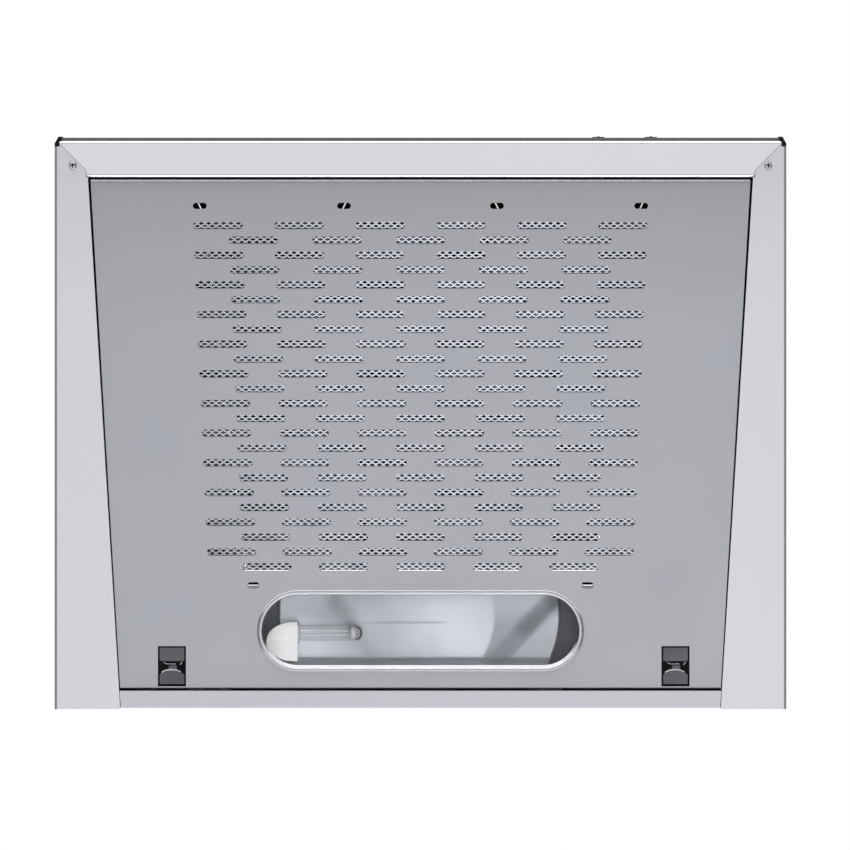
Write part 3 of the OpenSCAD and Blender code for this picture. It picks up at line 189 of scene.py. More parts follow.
def hex_code(value, level=1.0):
    """The sRGB hex code of a linear colour, made darker or lighter by a level."""
    parts = [min(1.0, c * level) for c in value[:3]]
    parts = [12.92 * c if c <= 0.0031308 else 1.055 * c ** (1 / 2.4) - 0.055 for c in parts]
    return "#" + "".join("%02X" % round(255 * c) for c in parts)


def tones(value, spread):
    """Two hex codes a little darker and lighter than a linear colour."""
    return hex_code(value, 1 - spread), hex_code(value, 1 + spread)


def covered(tree, shader, mask, code="#000000"):
    """Lay a colour, or else black, over a finish as thickly as a mask says, from 0 to 1."""
    old = shader.inputs["Base Color"].links[0].from_socket
    mix = add(tree, "ShaderNodeMix", {"Factor": mask, 6: old, 7: linear(code)}, data_type="RGBA")
    tree.links.new(mix.outputs[2], shader.inputs["Base Color"])


def level_along(tree, source, name, start, end, first=0.0, last=1.0, unsigned=False):
    """A level that goes from first to last as one coordinate of a place or normal goes from
    start to end."""
    value = add(tree, "ShaderNodeSeparateXYZ", {"Vector": source}).outputs[name]
    if unsigned:
        value = add(tree, "ShaderNodeMath", {0: value}, operation="ABSOLUTE").outputs["Value"]
    return add(tree, "ShaderNodeMapRange", {"Value": value, "From Min": start, "From Max": end,
                                            "To Min": first, "To Max": last}).outputs["Result"]


def painted_bend_highlights(tree, shader):
    """Painted highlight along a bend, pale, metallic and smooth, behind a thin crease of painted
    shade.

    The normal's Y is 0 on the flat underside and 1 on an upright face, so it tells the bend.
    """
    normal = add(tree, "ShaderNodeNewGeometry").outputs["True Normal"]
    masks = []
    for rise, fall in (((0.14, 0.20), (0.36, 0.29)), ((0.36, 0.46), (0.98, 0.93))):
        both = add(tree, "ShaderNodeMath",
                   {0: level_along(tree, normal, "Y", *rise, unsigned=True),
                    1: level_along(tree, normal, "Y", *fall, unsigned=True)},
                   operation="MULTIPLY")
        masks.append(both.outputs["Value"])
    crease, mask = masks
    # Painted shade: a thin grey crease line; painted highlight: a pale colour over the bend itself.
    covered(tree, shader, crease, "#8C8C90")
    covered(tree, shader, mask, "#D8D8DE")
    tree.links.new(mask, shader.inputs["Metallic"])
    old = shader.inputs["Roughness"].links[0].from_socket
    gloss = add(tree, "ShaderNodeMix", {0: mask, 2: old, 3: 0.3}).outputs[0]
    tree.links.new(gloss, shader.inputs["Roughness"])


def powder_coat(name, value, dull=0.0):
    """Powder coat sprayed on steel and baked: satin, with a faint orange peel 1.5 mm wide.

    Painted shade darkens it within 120 mm of the hinge side, by the share dull at the edge.
    """
    low, high = tones(value, 0.02)
    mat, tree, shader = finish(name, low, high, 90, 1.5, 0.006, (0.36, 0.44))
    if dull:
        place = add(tree, "ShaderNodeTexCoord").outputs["Object"]
        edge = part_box("grille_panel")[0][1]
        away = level_along(tree, place, "Y", edge, edge + 120 * MM)
        root = add(tree, "ShaderNodeMath", {0: away, 1: 0.5}, operation="POWER").outputs["Value"]
        # Painted shade: black laid over the coat, thickest at the hinge side.
        shade_share = add(tree, "ShaderNodeMath", {0: root, 1: -dull, 2: dull}, operation="MULTIPLY_ADD")
        covered(tree, shader, shade_share.outputs["Value"])
    return mat, tree, shader


def lap_shadow(tree, shader):
    """Bare steel on the laps behind a seam, laid near black with painted shadow: faces that look
    down from above the bottom.
    """
    place = add(tree, "ShaderNodeTexCoord").outputs["Object"]
    above = level_along(tree, place, "Z", 0.3 * MM, 0.6 * MM)
    normal = add(tree, "ShaderNodeNewGeometry").outputs["Normal"]
    down = level_along(tree, normal, "Z", -0.9, -0.98)
    both = add(tree, "ShaderNodeMath", {0: above, 1: down}, operation="MULTIPLY").outputs["Value"]
    # Painted shadow: near black over the down-looking laps.
    covered(tree, shader, both, "#2A2A2C")


def shaded_sides(name, inner, outer):
    """The casing's powder coat, with a darker colour laid on the outside beyond the bend as painted
    shade of the side bends.
    """
    # Painted shade toward the hinge side, by the share dull.
    mat, tree, shader = powder_coat(name, inner, dull=0.11)
    place = add(tree, "ShaderNodeTexCoord").outputs["Object"]
    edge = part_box("side_panel_right")[1][0] - 2.0 * MM
    # Painted shade: the darker colour covers the outside beyond the bend.
    mask = level_along(tree, place, "X", edge - 0.1 * MM, edge + 0.1 * MM, unsigned=True)
    covered(tree, shader, mask, hex_code(outer))
    lap_shadow(tree, shader)
    return mat


def coat_with_laps(name, value):
    """The casing's powder coat, with painted highlights along its bends and painted shadow on the
    bare laps that show through the seams.
    """
    mat, tree, shader = powder_coat(name, value)
    painted_bend_highlights(tree, shader)
    lap_shadow(tree, shader)
    return mat


def shaded_inside(name, value):
    """Powder coat with painted shade: faces that look down into the casing are laid near black."""
    mat, tree, shader = powder_coat(name, value)
    normal = add(tree, "ShaderNodeNewGeometry").outputs["Normal"]
    # Painted shade inside the casing, seen through the seams.
    covered(tree, shader, level_along(tree, normal, "Z", -0.05, -0.15), "#0E0E10")
    return mat


def satin_coat(name, value):
    """Satin paint sprayed on pressed steel: darker and smoother than the powder coat."""
    return finish(name, *tones(value, 0.05), 60, 0.9, 0.003, (0.40, 0.48), shine=0.3)[0]


def moulded(name, value, grain=0.8, rough=(0.42, 0.55), shine=0.35):
    """Injection-moulded plastic: even colour and a spark-eroded grain.

    The real grain, near 0.1 mm, is too fine to show, so it is drawn 0.8 mm wide or more.
    """
    return finish(name, *tones(value, 0.06), 35, grain, 0.01, rough, shine=shine)[0]


def zinc_plated(name="zinc_plated_steel"):
    """Steel, turned or pressed, then zinc plated: bright bluish grey with small blotches."""
    return finish(name, "#B3B6BA", "#CDD0D4", 6, 1.2, 0.004, (0.24, 0.40), metallic=1.0)[0]


def blackened(name="blackened_steel"):
    """Steel blackened in hot oil: near black and dull, with fine mottling."""
    return finish(name, "#070708", "#0E0E10", 5, 0.6, 0.003, (0.45, 0.60), shine=0.1)[0]


def shaded_tray(name="shaded_zinc_tray"):
    """Zinc-plated tray laid near black as painted shade of the lamp's cavity, with grey clouds
    about 30 mm wide.
    """
    return finish(name, "#1D1E23", "#33343A", 30, 1.0, 0.004, (0.38, 0.50), metallic=0.4,
                  shine=0.3)[0]


def galvanised(name="galvanised_steel"):
    """Hot-dipped sheet: spangles about 5 mm across, each with its own grey."""
    return finish(name, "#6F7276", "#9A9DA1", 30, 5.0, 0.002, (0.38, 0.52), metallic=0.85,
                  cells=True)[0]


def drawn_wire(name="drawn_spring_steel"):
    """Bright spring wire, drawn: fine lines run along it."""
    return finish(name, "#C6C8CB", "#E2E4E7", 8, 0.5, 0.003, (0.16, 0.28), metallic=1.0,
                  stretch=(0.2, 0.2, 1))[0]


def foil(name, low, high):
    """Aluminium foil, slit and stretched: torn strands with small dents 1.5 mm apart.

    It is laid darker toward the pad's edges, from 130 mm off a spot near the middle.
    """
    mat, tree, shader = finish(name, low, high, 12, 1.5, 0.05, (0.30, 0.50), metallic=0.8)
    place = add(tree, "ShaderNodeTexCoord").outputs["Object"]
    (x0, y0, low), (x1, y1, _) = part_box("filter_mesh")
    spot = (0.6 * x1 + 0.4 * x0, 0.65 * y1 + 0.35 * y0, low)
    away = add(tree, "ShaderNodeVectorMath", {0: place, 1: spot}, operation="DISTANCE")
    edge_darkening = add(tree, "ShaderNodeMapRange",
                 {"Value": away.outputs["Value"], "From Min": 130 * MM, "From Max": 250 * MM,
                  "To Max": 0.38})
    covered(tree, shader, edge_darkening.outputs["Result"])
    return mat


def rolled_aluminium(name="rolled_aluminium"):
    """Rolled sheet folded into the filter's frame: fine lines along the roll."""
    return finish(name, "#B9BCC1", "#D2D5DA", 25, 0.6, 0.004, (0.28, 0.40), metallic=1.0,
                  stretch=(0.05, 1, 1))[0]


def shade_band(tree, place, start, end, reach, shade_depth):
    """Mask of a soft band of painted shade along a line, in mm: full shade on the line, 0 past its
    reach.
    """
    start, end = Vector(start) * MM, Vector(end) * MM
    run = end - start
    off = add(tree, "ShaderNodeVectorMath", {0: place, 1: start}, operation="SUBTRACT")
    share = add(tree, "ShaderNodeVectorMath",
                {0: off.outputs["Vector"], 1: run / run.length_squared}, operation="DOT_PRODUCT")
    share = add(tree, "ShaderNodeClamp", {"Value": share.outputs["Value"]}).outputs["Result"]
    along = add(tree, "ShaderNodeVectorMath", {0: run, "Scale": share}, operation="SCALE")
    away = add(tree, "ShaderNodeVectorMath",
               {0: off.outputs["Vector"], 1: along.outputs["Vector"]}, operation="DISTANCE")
    return add(tree, "ShaderNodeMapRange",
               {"Value": away.outputs["Value"], "From Max": reach * MM, "To Min": shade_depth,
                "To Max": 0.0}, interpolation_type="SMOOTHSTEP").outputs["Result"]


def bright_reflector(name="anodised_reflector"):
    """Etched and anodised aluminium: a very soft mirror, with painted shade and painted reflections
    in slanting bands.

    Each band gives its start and end, its reach and how dark its painted shade is.
    """
    mat, tree, shader = finish(name, "#A0A4AC", "#A9ADB4", 40, 14, 0.02, (0.42, 0.50),
                               metallic=0.6)
    spot = add(tree, "ShaderNodeTexCoord").outputs["Object"]
    place = add(tree, "ShaderNodeVectorMath", {0: spot, 1: (1, 1, 0)}, operation="MULTIPLY")
    place = place.outputs["Vector"]
    # Painted shade and painted reflections: soft dark bands across the liner.
    for band in (((-70, 146, 0), (-57, 168, 0), 13, 0.38),
                 ((-57, 168, 0), (-38, 196, 0), 10, 0.16),
                 ((-60, 150, 0), (-32, 196, 0), 68, 0.32),
                 ((126, 137, 0), (113, 147, 0), 16, 0.58),
                 ((106, 152, 0), (86, 168, 0), 13, 0.38),
                 ((-118, 151, 0), (-78, 158, 0), 18, 0.26)):
        covered(tree, shader, shade_band(tree, place, *band))
    # Painted shade darkens the facet beyond the liner's curved crease, more toward the rear.
    plan = add(tree, "ShaderNodeSeparateXYZ", {"Vector": place}).outputs
    bow = add(tree, "ShaderNodeMath", {0: plan["Y"], 1: -160 * MM}, operation="ADD")
    bow = add(tree, "ShaderNodeMath", {0: bow.outputs["Value"], 1: bow.outputs["Value"]},
              operation="MULTIPLY")
    line = add(tree, "ShaderNodeMath", {0: bow.outputs["Value"], 1: 8.8, 2: plan["X"]},
               operation="MULTIPLY_ADD")
    beyond = add(tree, "ShaderNodeMapRange", {"Value": line.outputs["Value"],
                                              "From Min": 59.5 * MM, "From Max": 61.5 * MM})
    rear = level_along(tree, place, "Y", 148 * MM, 168 * MM, last=0.28)
    shade_share = add(tree, "ShaderNodeMath", {0: beyond.outputs["Result"], 1: rear},
               operation="MULTIPLY")
    covered(tree, shader, shade_share.outputs["Value"])
    # Painted highlight: the liner's falling rear strip is laid pale.
    covered(tree, shader, level_along(tree, place, "Y", 192.5 * MM, 194.0 * MM), "#E4E6EA")
    return mat


def steatite(name="glazed_steatite", *bands):
    """Pressed and glazed ceramic, or a fused seal: dense white, with soft bands of painted shade
    where bands are given.
    """
    mat, tree, shader = finish(name, "#E4E5E8", "#EFEFF1", 20, 2.5, 0.01, (0.20, 0.30), coat=0.4)
    place = add(tree, "ShaderNodeTexCoord").outputs["Object"]
    flat = add(tree, "ShaderNodeVectorMath", {0: place, 1: (1, 1, 0)}, operation="MULTIPLY")
    for band in bands:
        covered(tree, shader, shade_band(tree, flat.outputs["Vector"], *band))
    return mat


def ground_steel(name="ground_steel"):
    """Ground shaft steel: fine rings round it."""
    return finish(name, "#C2C4C8", "#DADCDF", 10, 0.4, 0.003, (0.18, 0.28), metallic=1.0,
                  stretch=(0.1, 0.1, 1))[0]


def clear(name, low, high, rough, ior, blend, faint, thick):
    """A clear material: its faces let the eye through and its edges, seen aslant, look solid."""
    mat, tree, shader = finish(name, low, high, 70, 25, 0.03, rough)
    shader.inputs["IOR"].default_value = ior
    rim = add(tree, "ShaderNodeLayerWeight", {"Blend": blend}).outputs["Facing"]
    cover = add(tree, "ShaderNodeMapRange", {"Value": rim, "From Min": 0.05, "From Max": 0.8,
                                             "To Min": faint, "To Max": thick}).outputs["Result"]
    tree.links.new(cover, shader.inputs["Alpha"])
    return mat


def cover_face(name="clear_polycarbonate"):
    """Clear polycarbonate, moulded: nearly invisible face on, whitish where it slopes."""
    return clear(name, "#DDE2EA", "#EAEDF2", (0.04, 0.09), 1.585, 0.4, 0.03, 0.8)


def cover_wall(name="lit_polycarbonate"):
    """The cover's inner bead and sloping wall: white where they look to the front lamp."""
    mat, tree, shader = finish(name, "#E4E6EB", "#F2F3F6", 30, 6, 0.01, (0.08, 0.14), coat=1.0)
    place = add(tree, "ShaderNodeTexCoord").outputs["Object"]
    normal = add(tree, "ShaderNodeNewGeometry").outputs["Normal"]
    lit = level_along(tree, normal, "Y", -0.2, -0.5, 0.06, 0.95)
    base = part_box("lamp_lens")[0][2] + 1.2 * MM
    bead = level_along(tree, place, "Z", base, base + 0.2 * MM, 0.8, 0.0)
    both = add(tree, "ShaderNodeMath", {0: lit, 1: bead}, operation="MAXIMUM").outputs["Value"]
    tree.links.new(both, shader.inputs["Alpha"])
    return mat


def cover_rim(name="frosted_polycarbonate"):
    """The cover's thin moulded beads: pale, white toward the front lamp, with painted dark
    reflections at both ends.
    """
    mat, tree, shader = finish(name, "#E4E6EB", "#F2F3F6", 30, 6, 0.01, (0.08, 0.14), coat=1.0)
    normal = add(tree, "ShaderNodeNewGeometry").outputs["Normal"]
    lit = level_along(tree, normal, "Y", -0.05, -0.4, 0.5, 0.95)
    tree.links.new(lit, shader.inputs["Alpha"])
    place = add(tree, "ShaderNodeTexCoord").outputs["Object"]
    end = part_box("lamp_lens")[1][0]
    tips = level_along(tree, place, "X", end - 6 * MM, end - 2 * MM, unsigned=True)
    # Painted reflection: the beads are laid dark near both ends.
    covered(tree, shader, tips, "#3A3B40")
    return mat


def bulb_glass(name="clear_soda_glass"):
    """Blown soda glass: clear where it is seen square on, faintly bright along its edges."""
    return clear(name, "#E9EDF0", "#FFFFFF", (0.02, 0.05), 1.52, 0.4, 0.04, 0.38)


# Shapes, all in millimetres

def skin(rings):
    """Points and faces of a skin through rings; a ring of one point closes an end."""
    points, starts, faces = [], [], []
    for ring in rings:
        starts.append(len(points))
        points.extend(ring)
    for k in range(len(rings) - 1):
        a, b = starts[k], starts[k + 1]
        n, m = len(rings[k]), len(rings[k + 1])
        count = max(n, m)
        for i in range(count):
            j = (i + 1) % count
            if n == 1:
                faces.append((a, b + j, b + i))
            elif m == 1:
                faces.append((a + i, a + j, b))
            else:
                faces.append((a + i, a + j, b + j, b + i))
    return points, faces


def caps(points, faces, rings):
    """Close both ends of a skin with flat faces."""
    first, last = len(rings[0]), len(rings[-1])
    faces.append(tuple(range(first)))
    faces.append(tuple(range(len(points) - last, len(points))))
    return points, faces


def turned(profile, steps, centre, axis="Z"):
    """A profile of (radius, height) pairs turned round an axis through the centre."""
    rings = []
    for radius, height in profile:
        ring = []
        for i in range(steps if radius > 0 else 1):
            a = 2 * math.pi * i / steps
            u, v = radius * math.cos(a), radius * math.sin(a)
            p = {"Z": (u, v, height), "X": (height, u, v), "Y": (v, height, u)}[axis]
            ring.append(tuple(c + d for c, d in zip(centre, p)))
        rings.append(ring)
    return skin(rings)


def stadium(long, wide, height, centre, steps=24):
    """Ring of a slot shape along X."""
    ring = []
    r, half = wide / 2, (long - wide) / 2
    for side, start in ((1, -90), (-1, 90)):
        for i in range(steps + 1):
            a = math.radians(start + 180 * i / steps)
            x = centre[0] + side * half + r * math.cos(a)
            ring.append((x, centre[1] + r * math.sin(a), height))
    return ring


def prism(outline, low, high):
    """Upright prism of a plan outline."""
    rings = [[(x, y, z) for x, y in outline] for z in (low, high)]
    return caps(*skin(rings), rings)


def joined(*parts):
    """Several shapes as one list of points and faces."""
    points, faces = [], []
    for p, f in parts:
        n = len(points)
        points.extend(p)
        faces.extend(tuple(i + n for i in face) for face in f)
    return points, faces


def box_shape(low, high):
    """A box between two corners, for pieces that are bevelled afterwards."""
    (x0, y0, z0), (x1, y1, z1) = low, high
    return prism([(x0, y0), (x1, y0), (x1, y1), (x0, y1)], z0, z1)


def make(name, body, shape, mat, stands_for=(), sharp=35, bevel=0.0):
    """Make one piece from points in millimetres, give it its finish and let it ride on a body."""
    points, faces = shape
    mesh = bpy.data.meshes.new(name)
    mesh.from_pydata([Vector(p) * MM for p in points], [], faces)
    mesh.validate()
    obj = bpy.data.objects.new(name, mesh)
    bpy.context.scene.collection.objects.link(obj)
    mesh.materials.append(mat)
    work = bmesh.new()
    work.from_mesh(mesh)
    bmesh.ops.recalc_face_normals(work, faces=work.faces)
    work.to_mesh(mesh)
    work.free()
    mesh.shade_smooth()
    mesh.set_sharp_from_angle(angle=math.radians(sharp))
    if bevel:
        soften(obj, bevel)
    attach(obj, body)
    if stands_for:
        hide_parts(*stands_for)
    return obj


def soften(obj, width, segments=2):
    """Round an object's sharp edges."""
    mod = obj.modifiers.new("edges", "BEVEL")
    mod.width = width * MM
    mod.segments = segments
    mod.limit_method = "ANGLE"
    mod.angle_limit = math.radians(40)
    mod.harden_normals = True
    return mod


def dress(mat, *nodes):
    """Give CAD nodes their finish."""
    for name in nodes:
        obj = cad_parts[name]
        if not obj.material_slots:
            obj.data.materials.append(mat)
        for slot in obj.material_slots:
            slot.material = mat


def corner(node):
    """Lowest and highest corner of a CAD node, in millimetres."""
    low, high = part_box(node)
    return [c / MM for c in low], [c / MM for c in high]


def middle(node):
    """Centre of a CAD node's box, in millimetres."""
    low, high = corner(node)
    return [(a + b) / 2 for a, b in zip(low, high)]


# Operators

class HOOD_OT_casing(bpy.types.Operator):
    """Finish the casing's sheets"""
    bl_idname = "hood.casing"
    bl_label = "Casing"

    def execute(self, context):
        tone = context.scene.hood_finish
        dress(coat_with_laps("powder_coat_front", tone.casing), "front_panel")
        dress(shaded_inside("powder_coat_top", tone.casing), "top_panel")
        dress(powder_coat("powder_coat_rail", tone.rail)[0], "back_panel")
        dress(shaded_sides("powder_coat_sides", tone.strip, tone.side),
              "side_panel_left", "side_panel_right")
        return {"FINISHED"}


class HOOD_OT_controls(bpy.types.Operator):
    """Finish the fascia, end caps, sliders and switches"""
    bl_idname = "hood.controls"
    bl_label = "Controls"

    def execute(self, context):
        tone = context.scene.hood_finish
        dress(satin_coat("satin_coat_fascia", tone.fascia), "control_fascia")
        dress(moulded("moulded_cap", tone.cap, shine=0.1), "end_cap_left", "end_cap_right")
        dress(moulded("moulded_knob", tone.knob, rough=(0.30, 0.42)), "light_slider",
              "speed_slider")
        dress(moulded("moulded_switch", linear("#2B2B2E")), "light_switch", "speed_switch")
        return {"FINISHED"}


class HOOD_OT_corner_screws(bpy.types.Operator):
    """Make the two domed corner screws with their cross recesses"""
    bl_idname = "hood.corner_screws"
    bl_label = "Corner screws"

    # Cross recess: length of an arm, half its width, and its depth
    ARM, SLOT, SUNK = 1.9, 0.5, 0.9
    # Radius of the shank and of its tip
    SHANK, POINT = 1.5, 0.7

    def execute(self, context):
        size = context.scene.hood_sizes
        low, high = corner("corner_screws")
        head, dome = size.screw_head / MM, size.screw_dome / MM
        mat = finish("zinc_plated_screw", "#84868A", "#B4B6BA", 3, 0.7, 0.004, (0.26, 0.38),
                     metallic=1.0)[0]
        # Painted shade: the cross recess and a ring round the head are a near-black piece where
        # shade falls.
        recess_shade = blackened("painted_recess_shade")
        for side, name in ((-1, "corner_screw_left"), (1, "corner_screw_right")):
            x = side * (high[0] - (high[1] - low[1]) / 2)
            y = (low[1] + high[1]) / 2
            made = make(name, "casing", self.screw(x, y, head, dome, high[2]), mat,
                        sharp=30)
            cross = [box_shape((x - a, y - b, 0.4 - dome), (x + a, y + b, self.SUNK - dome))
                     for a, b in ((self.ARM, self.SLOT), (self.SLOT, self.ARM))]
            ring = turned([(head, -0.12), (head + 0.3, -0.12), (head + 0.3, 0.1), (head, 0.1),
                           (head, -0.12)], 48, (x, y, 0))
            make(name + "_recess", "casing", joined(*cross, ring), recess_shade)
            if side < 0:
                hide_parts("corner_screws")
        return {"FINISHED"}

    @classmethod
    def screw(cls, x, y, head, dome, tip):
        """A dome with a cross sunk into it, and the shank above."""
        steps, turns = 72, 22
        circle = [(math.cos(2 * math.pi * i / steps), math.sin(2 * math.pi * i / steps))
                  for i in range(steps)]
        rings = [[(x, y, dome * 0.9 - dome)]]
        for k in range(1, turns + 1):
            r = head * k / turns
            rise = dome * math.sqrt(max(0.0, 1 - (r / (head * 1.02)) ** 2))
            ring = []
            for u, v in circle:
                near, far = sorted((abs(r * u), abs(r * v)))
                sunk = cls.SUNK if near < cls.SLOT and far < cls.ARM else 0.0
                ring.append((x + r * u, y + r * v, sunk - rise))
            rings.append(ring)
        for r, z in ((head, 0.02), (cls.SHANK, 0.02), (cls.SHANK, tip - 1), (cls.POINT, tip)):
            rings.append([(x + r * u, y + r * v, z) for u, v in circle])
        rings.append([(x, y, tip)])
        return skin(rings)


class HOOD_OT_grille(bpy.types.Operator):
    """Finish the grille panel with its hinge pins and brackets"""
    bl_idname = "hood.grille"
    bl_label = "Grille"

    def execute(self, context):
        tone = context.scene.hood_finish
        # Painted shade toward the grille's hinge side, by the share dull.
        mat, tree, shader = powder_coat("powder_coat_grille", tone.grille, dull=0.24)
        # Painted highlights and painted crease shade along the grille's bends.
        painted_bend_highlights(tree, shader)
        dress(mat, "grille_panel")
        dress(blackened(), "hinge_pins")
        dress(zinc_plated("zinc_plated_hinge"), "hinge_brackets")
        return {"FINISHED"}


class HOOD_OT_filter(bpy.types.Operator):
    """Make the filter's layers of expanded foil inside its frame"""
    bl_idname = "hood.filter"
    bl_label = "Filter"

    def execute(self, context):
        size = context.scene.hood_sizes
        dress(rolled_aluminium(), "filter_frame")
        dress(drawn_wire(), "filter_wire_left", "filter_wire_right")
        low, high = corner("filter_mesh")
        pitch, row = size.strand_pitch / MM, size.strand_row / MM
        wide, thick = size.strand_width / MM, size.foil / MM
        bright = foil("expanded_aluminium", "#84878E", "#B2B5BC")
        # Painted shade: the middle and upper layers are a darker copy of the foil.
        shaded_foil = foil("shaded_aluminium", "#55565A", "#85868B")
        layers = (("filter_foil_lower", low[2] + 0.2, pitch, row, wide, 1, bright),
                  ("filter_foil_middle", low[2] + 1.7, pitch * 1.04, row * 1.07, wide, -1, shaded_foil),
                  ("filter_foil_upper", high[2] - 0.9, pitch * 1.5, row * 1.5, wide, -1, shaded_foil))
        for name, z, p, s, w, lean, mat in layers:
            sheet = self.sheet(low, high, z, p, s, w, thick, lean)
            obj = make(name, "grille", sheet, mat, sharp=50)
            if z < low[2] + 1:
                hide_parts("filter_mesh")
        return {"FINISHED"}

    @staticmethod
    def sheet(low, high, z, pitch, row, wide, thick, lean):
        """Staggered zigzag strands, each a leaning three-sided bar, that meet at their bonds."""
        cols = int((high[0] - low[0] - 1) / (pitch / 2))
        rows = int((high[1] - low[1] - 1) / row)
        x0 = (low[0] + high[0] - cols * pitch / 2) / 2
        y0 = (low[1] + high[1] - (rows - 1) * row) / 2
        section = ((-wide / 2, 0.0), (wide / 2, thick * 0.55), (wide * 0.1 * lean, thick * 1.4))
        points, faces = [], []
        for j in range(rows):
            start = len(points)
            for i in range(cols + 1):
                y = y0 + j * row + (row / 2 - wide * 0.28) * (1 if (i + j) % 2 else -1)
                for dy, dz in section:
                    points.append((x0 + i * pitch / 2, y + dy * lean, z + dz))
            for i in range(cols):
                a = start + 3 * i
                for k in range(3):
                    m = (k + 1) % 3
                    faces.append((a + k, a + m, a + 3 + m, a + 3 + k))
            faces.append((start, start + 1, start + 2))
            end = start + 3 * cols
            faces.append((end, end + 2, end + 1))
        return points, faces


class HOOD_OT_cover(bpy.types.Operator):
    """Make the clear lamp cover: two beads round it and a dished face"""
    bl_idname = "hood.cover"
    bl_label = "Lamp cover"

    def execute(self, context):
        bead = context.scene.hood_sizes.cover_bead / MM
        low, high = corner("lamp_lens")
        centre = middle("lamp_lens")
        long, wide = high[0] - low[0], high[1] - low[1]
        base, top = low[2] + bead, high[2]
        face = base + 2.4

        def shell(profile):
            return [stadium(long - 2 * d, wide - 2 * d, z, centre) for d, z in profile]

        def arch(start, end, rise):
            """Half-round bead between two insets."""
            r = (end - start) / 2
            return [(start + r - r * math.cos(math.radians(a)),
                     base - rise * math.sin(math.radians(a))) for a in range(0, 181, 18)]

        # Insets from the outline: outer bead 0 to 1.4, inner bead 1.9 to 3.1, wall up to 5.4
        outer = shell(arch(0.0, 1.4, bead) + [(0.0, base)])
        make("lamp_cover_bead", "grille", skin(outer), cover_rim(), sharp=60)
        wall = shell([(1.9, base)] + arch(1.9, 3.1, bead)[:8] + [(5.0, face - 0.3), (5.4, face)])
        make("lamp_cover_wall", "grille", skin(wall), cover_wall(), sharp=60)
        rings = shell([(3.6, face + 1.6), (3.6, top), (2.4, top), (2.4, base - 0.2),
                       (3.2, base - 0.2)])
        make("lamp_cover", "grille", skin(rings), cover_face(),
             stands_for=("lamp_lens",), sharp=60)
        rings = shell([(5.3, face)])
        pane = [rings[0], [(centre[0], centre[1], face)]]
        make("lamp_cover_pane", "grille", skin(pane), cover_face("clear_pane"))
        return {"FINISHED"}


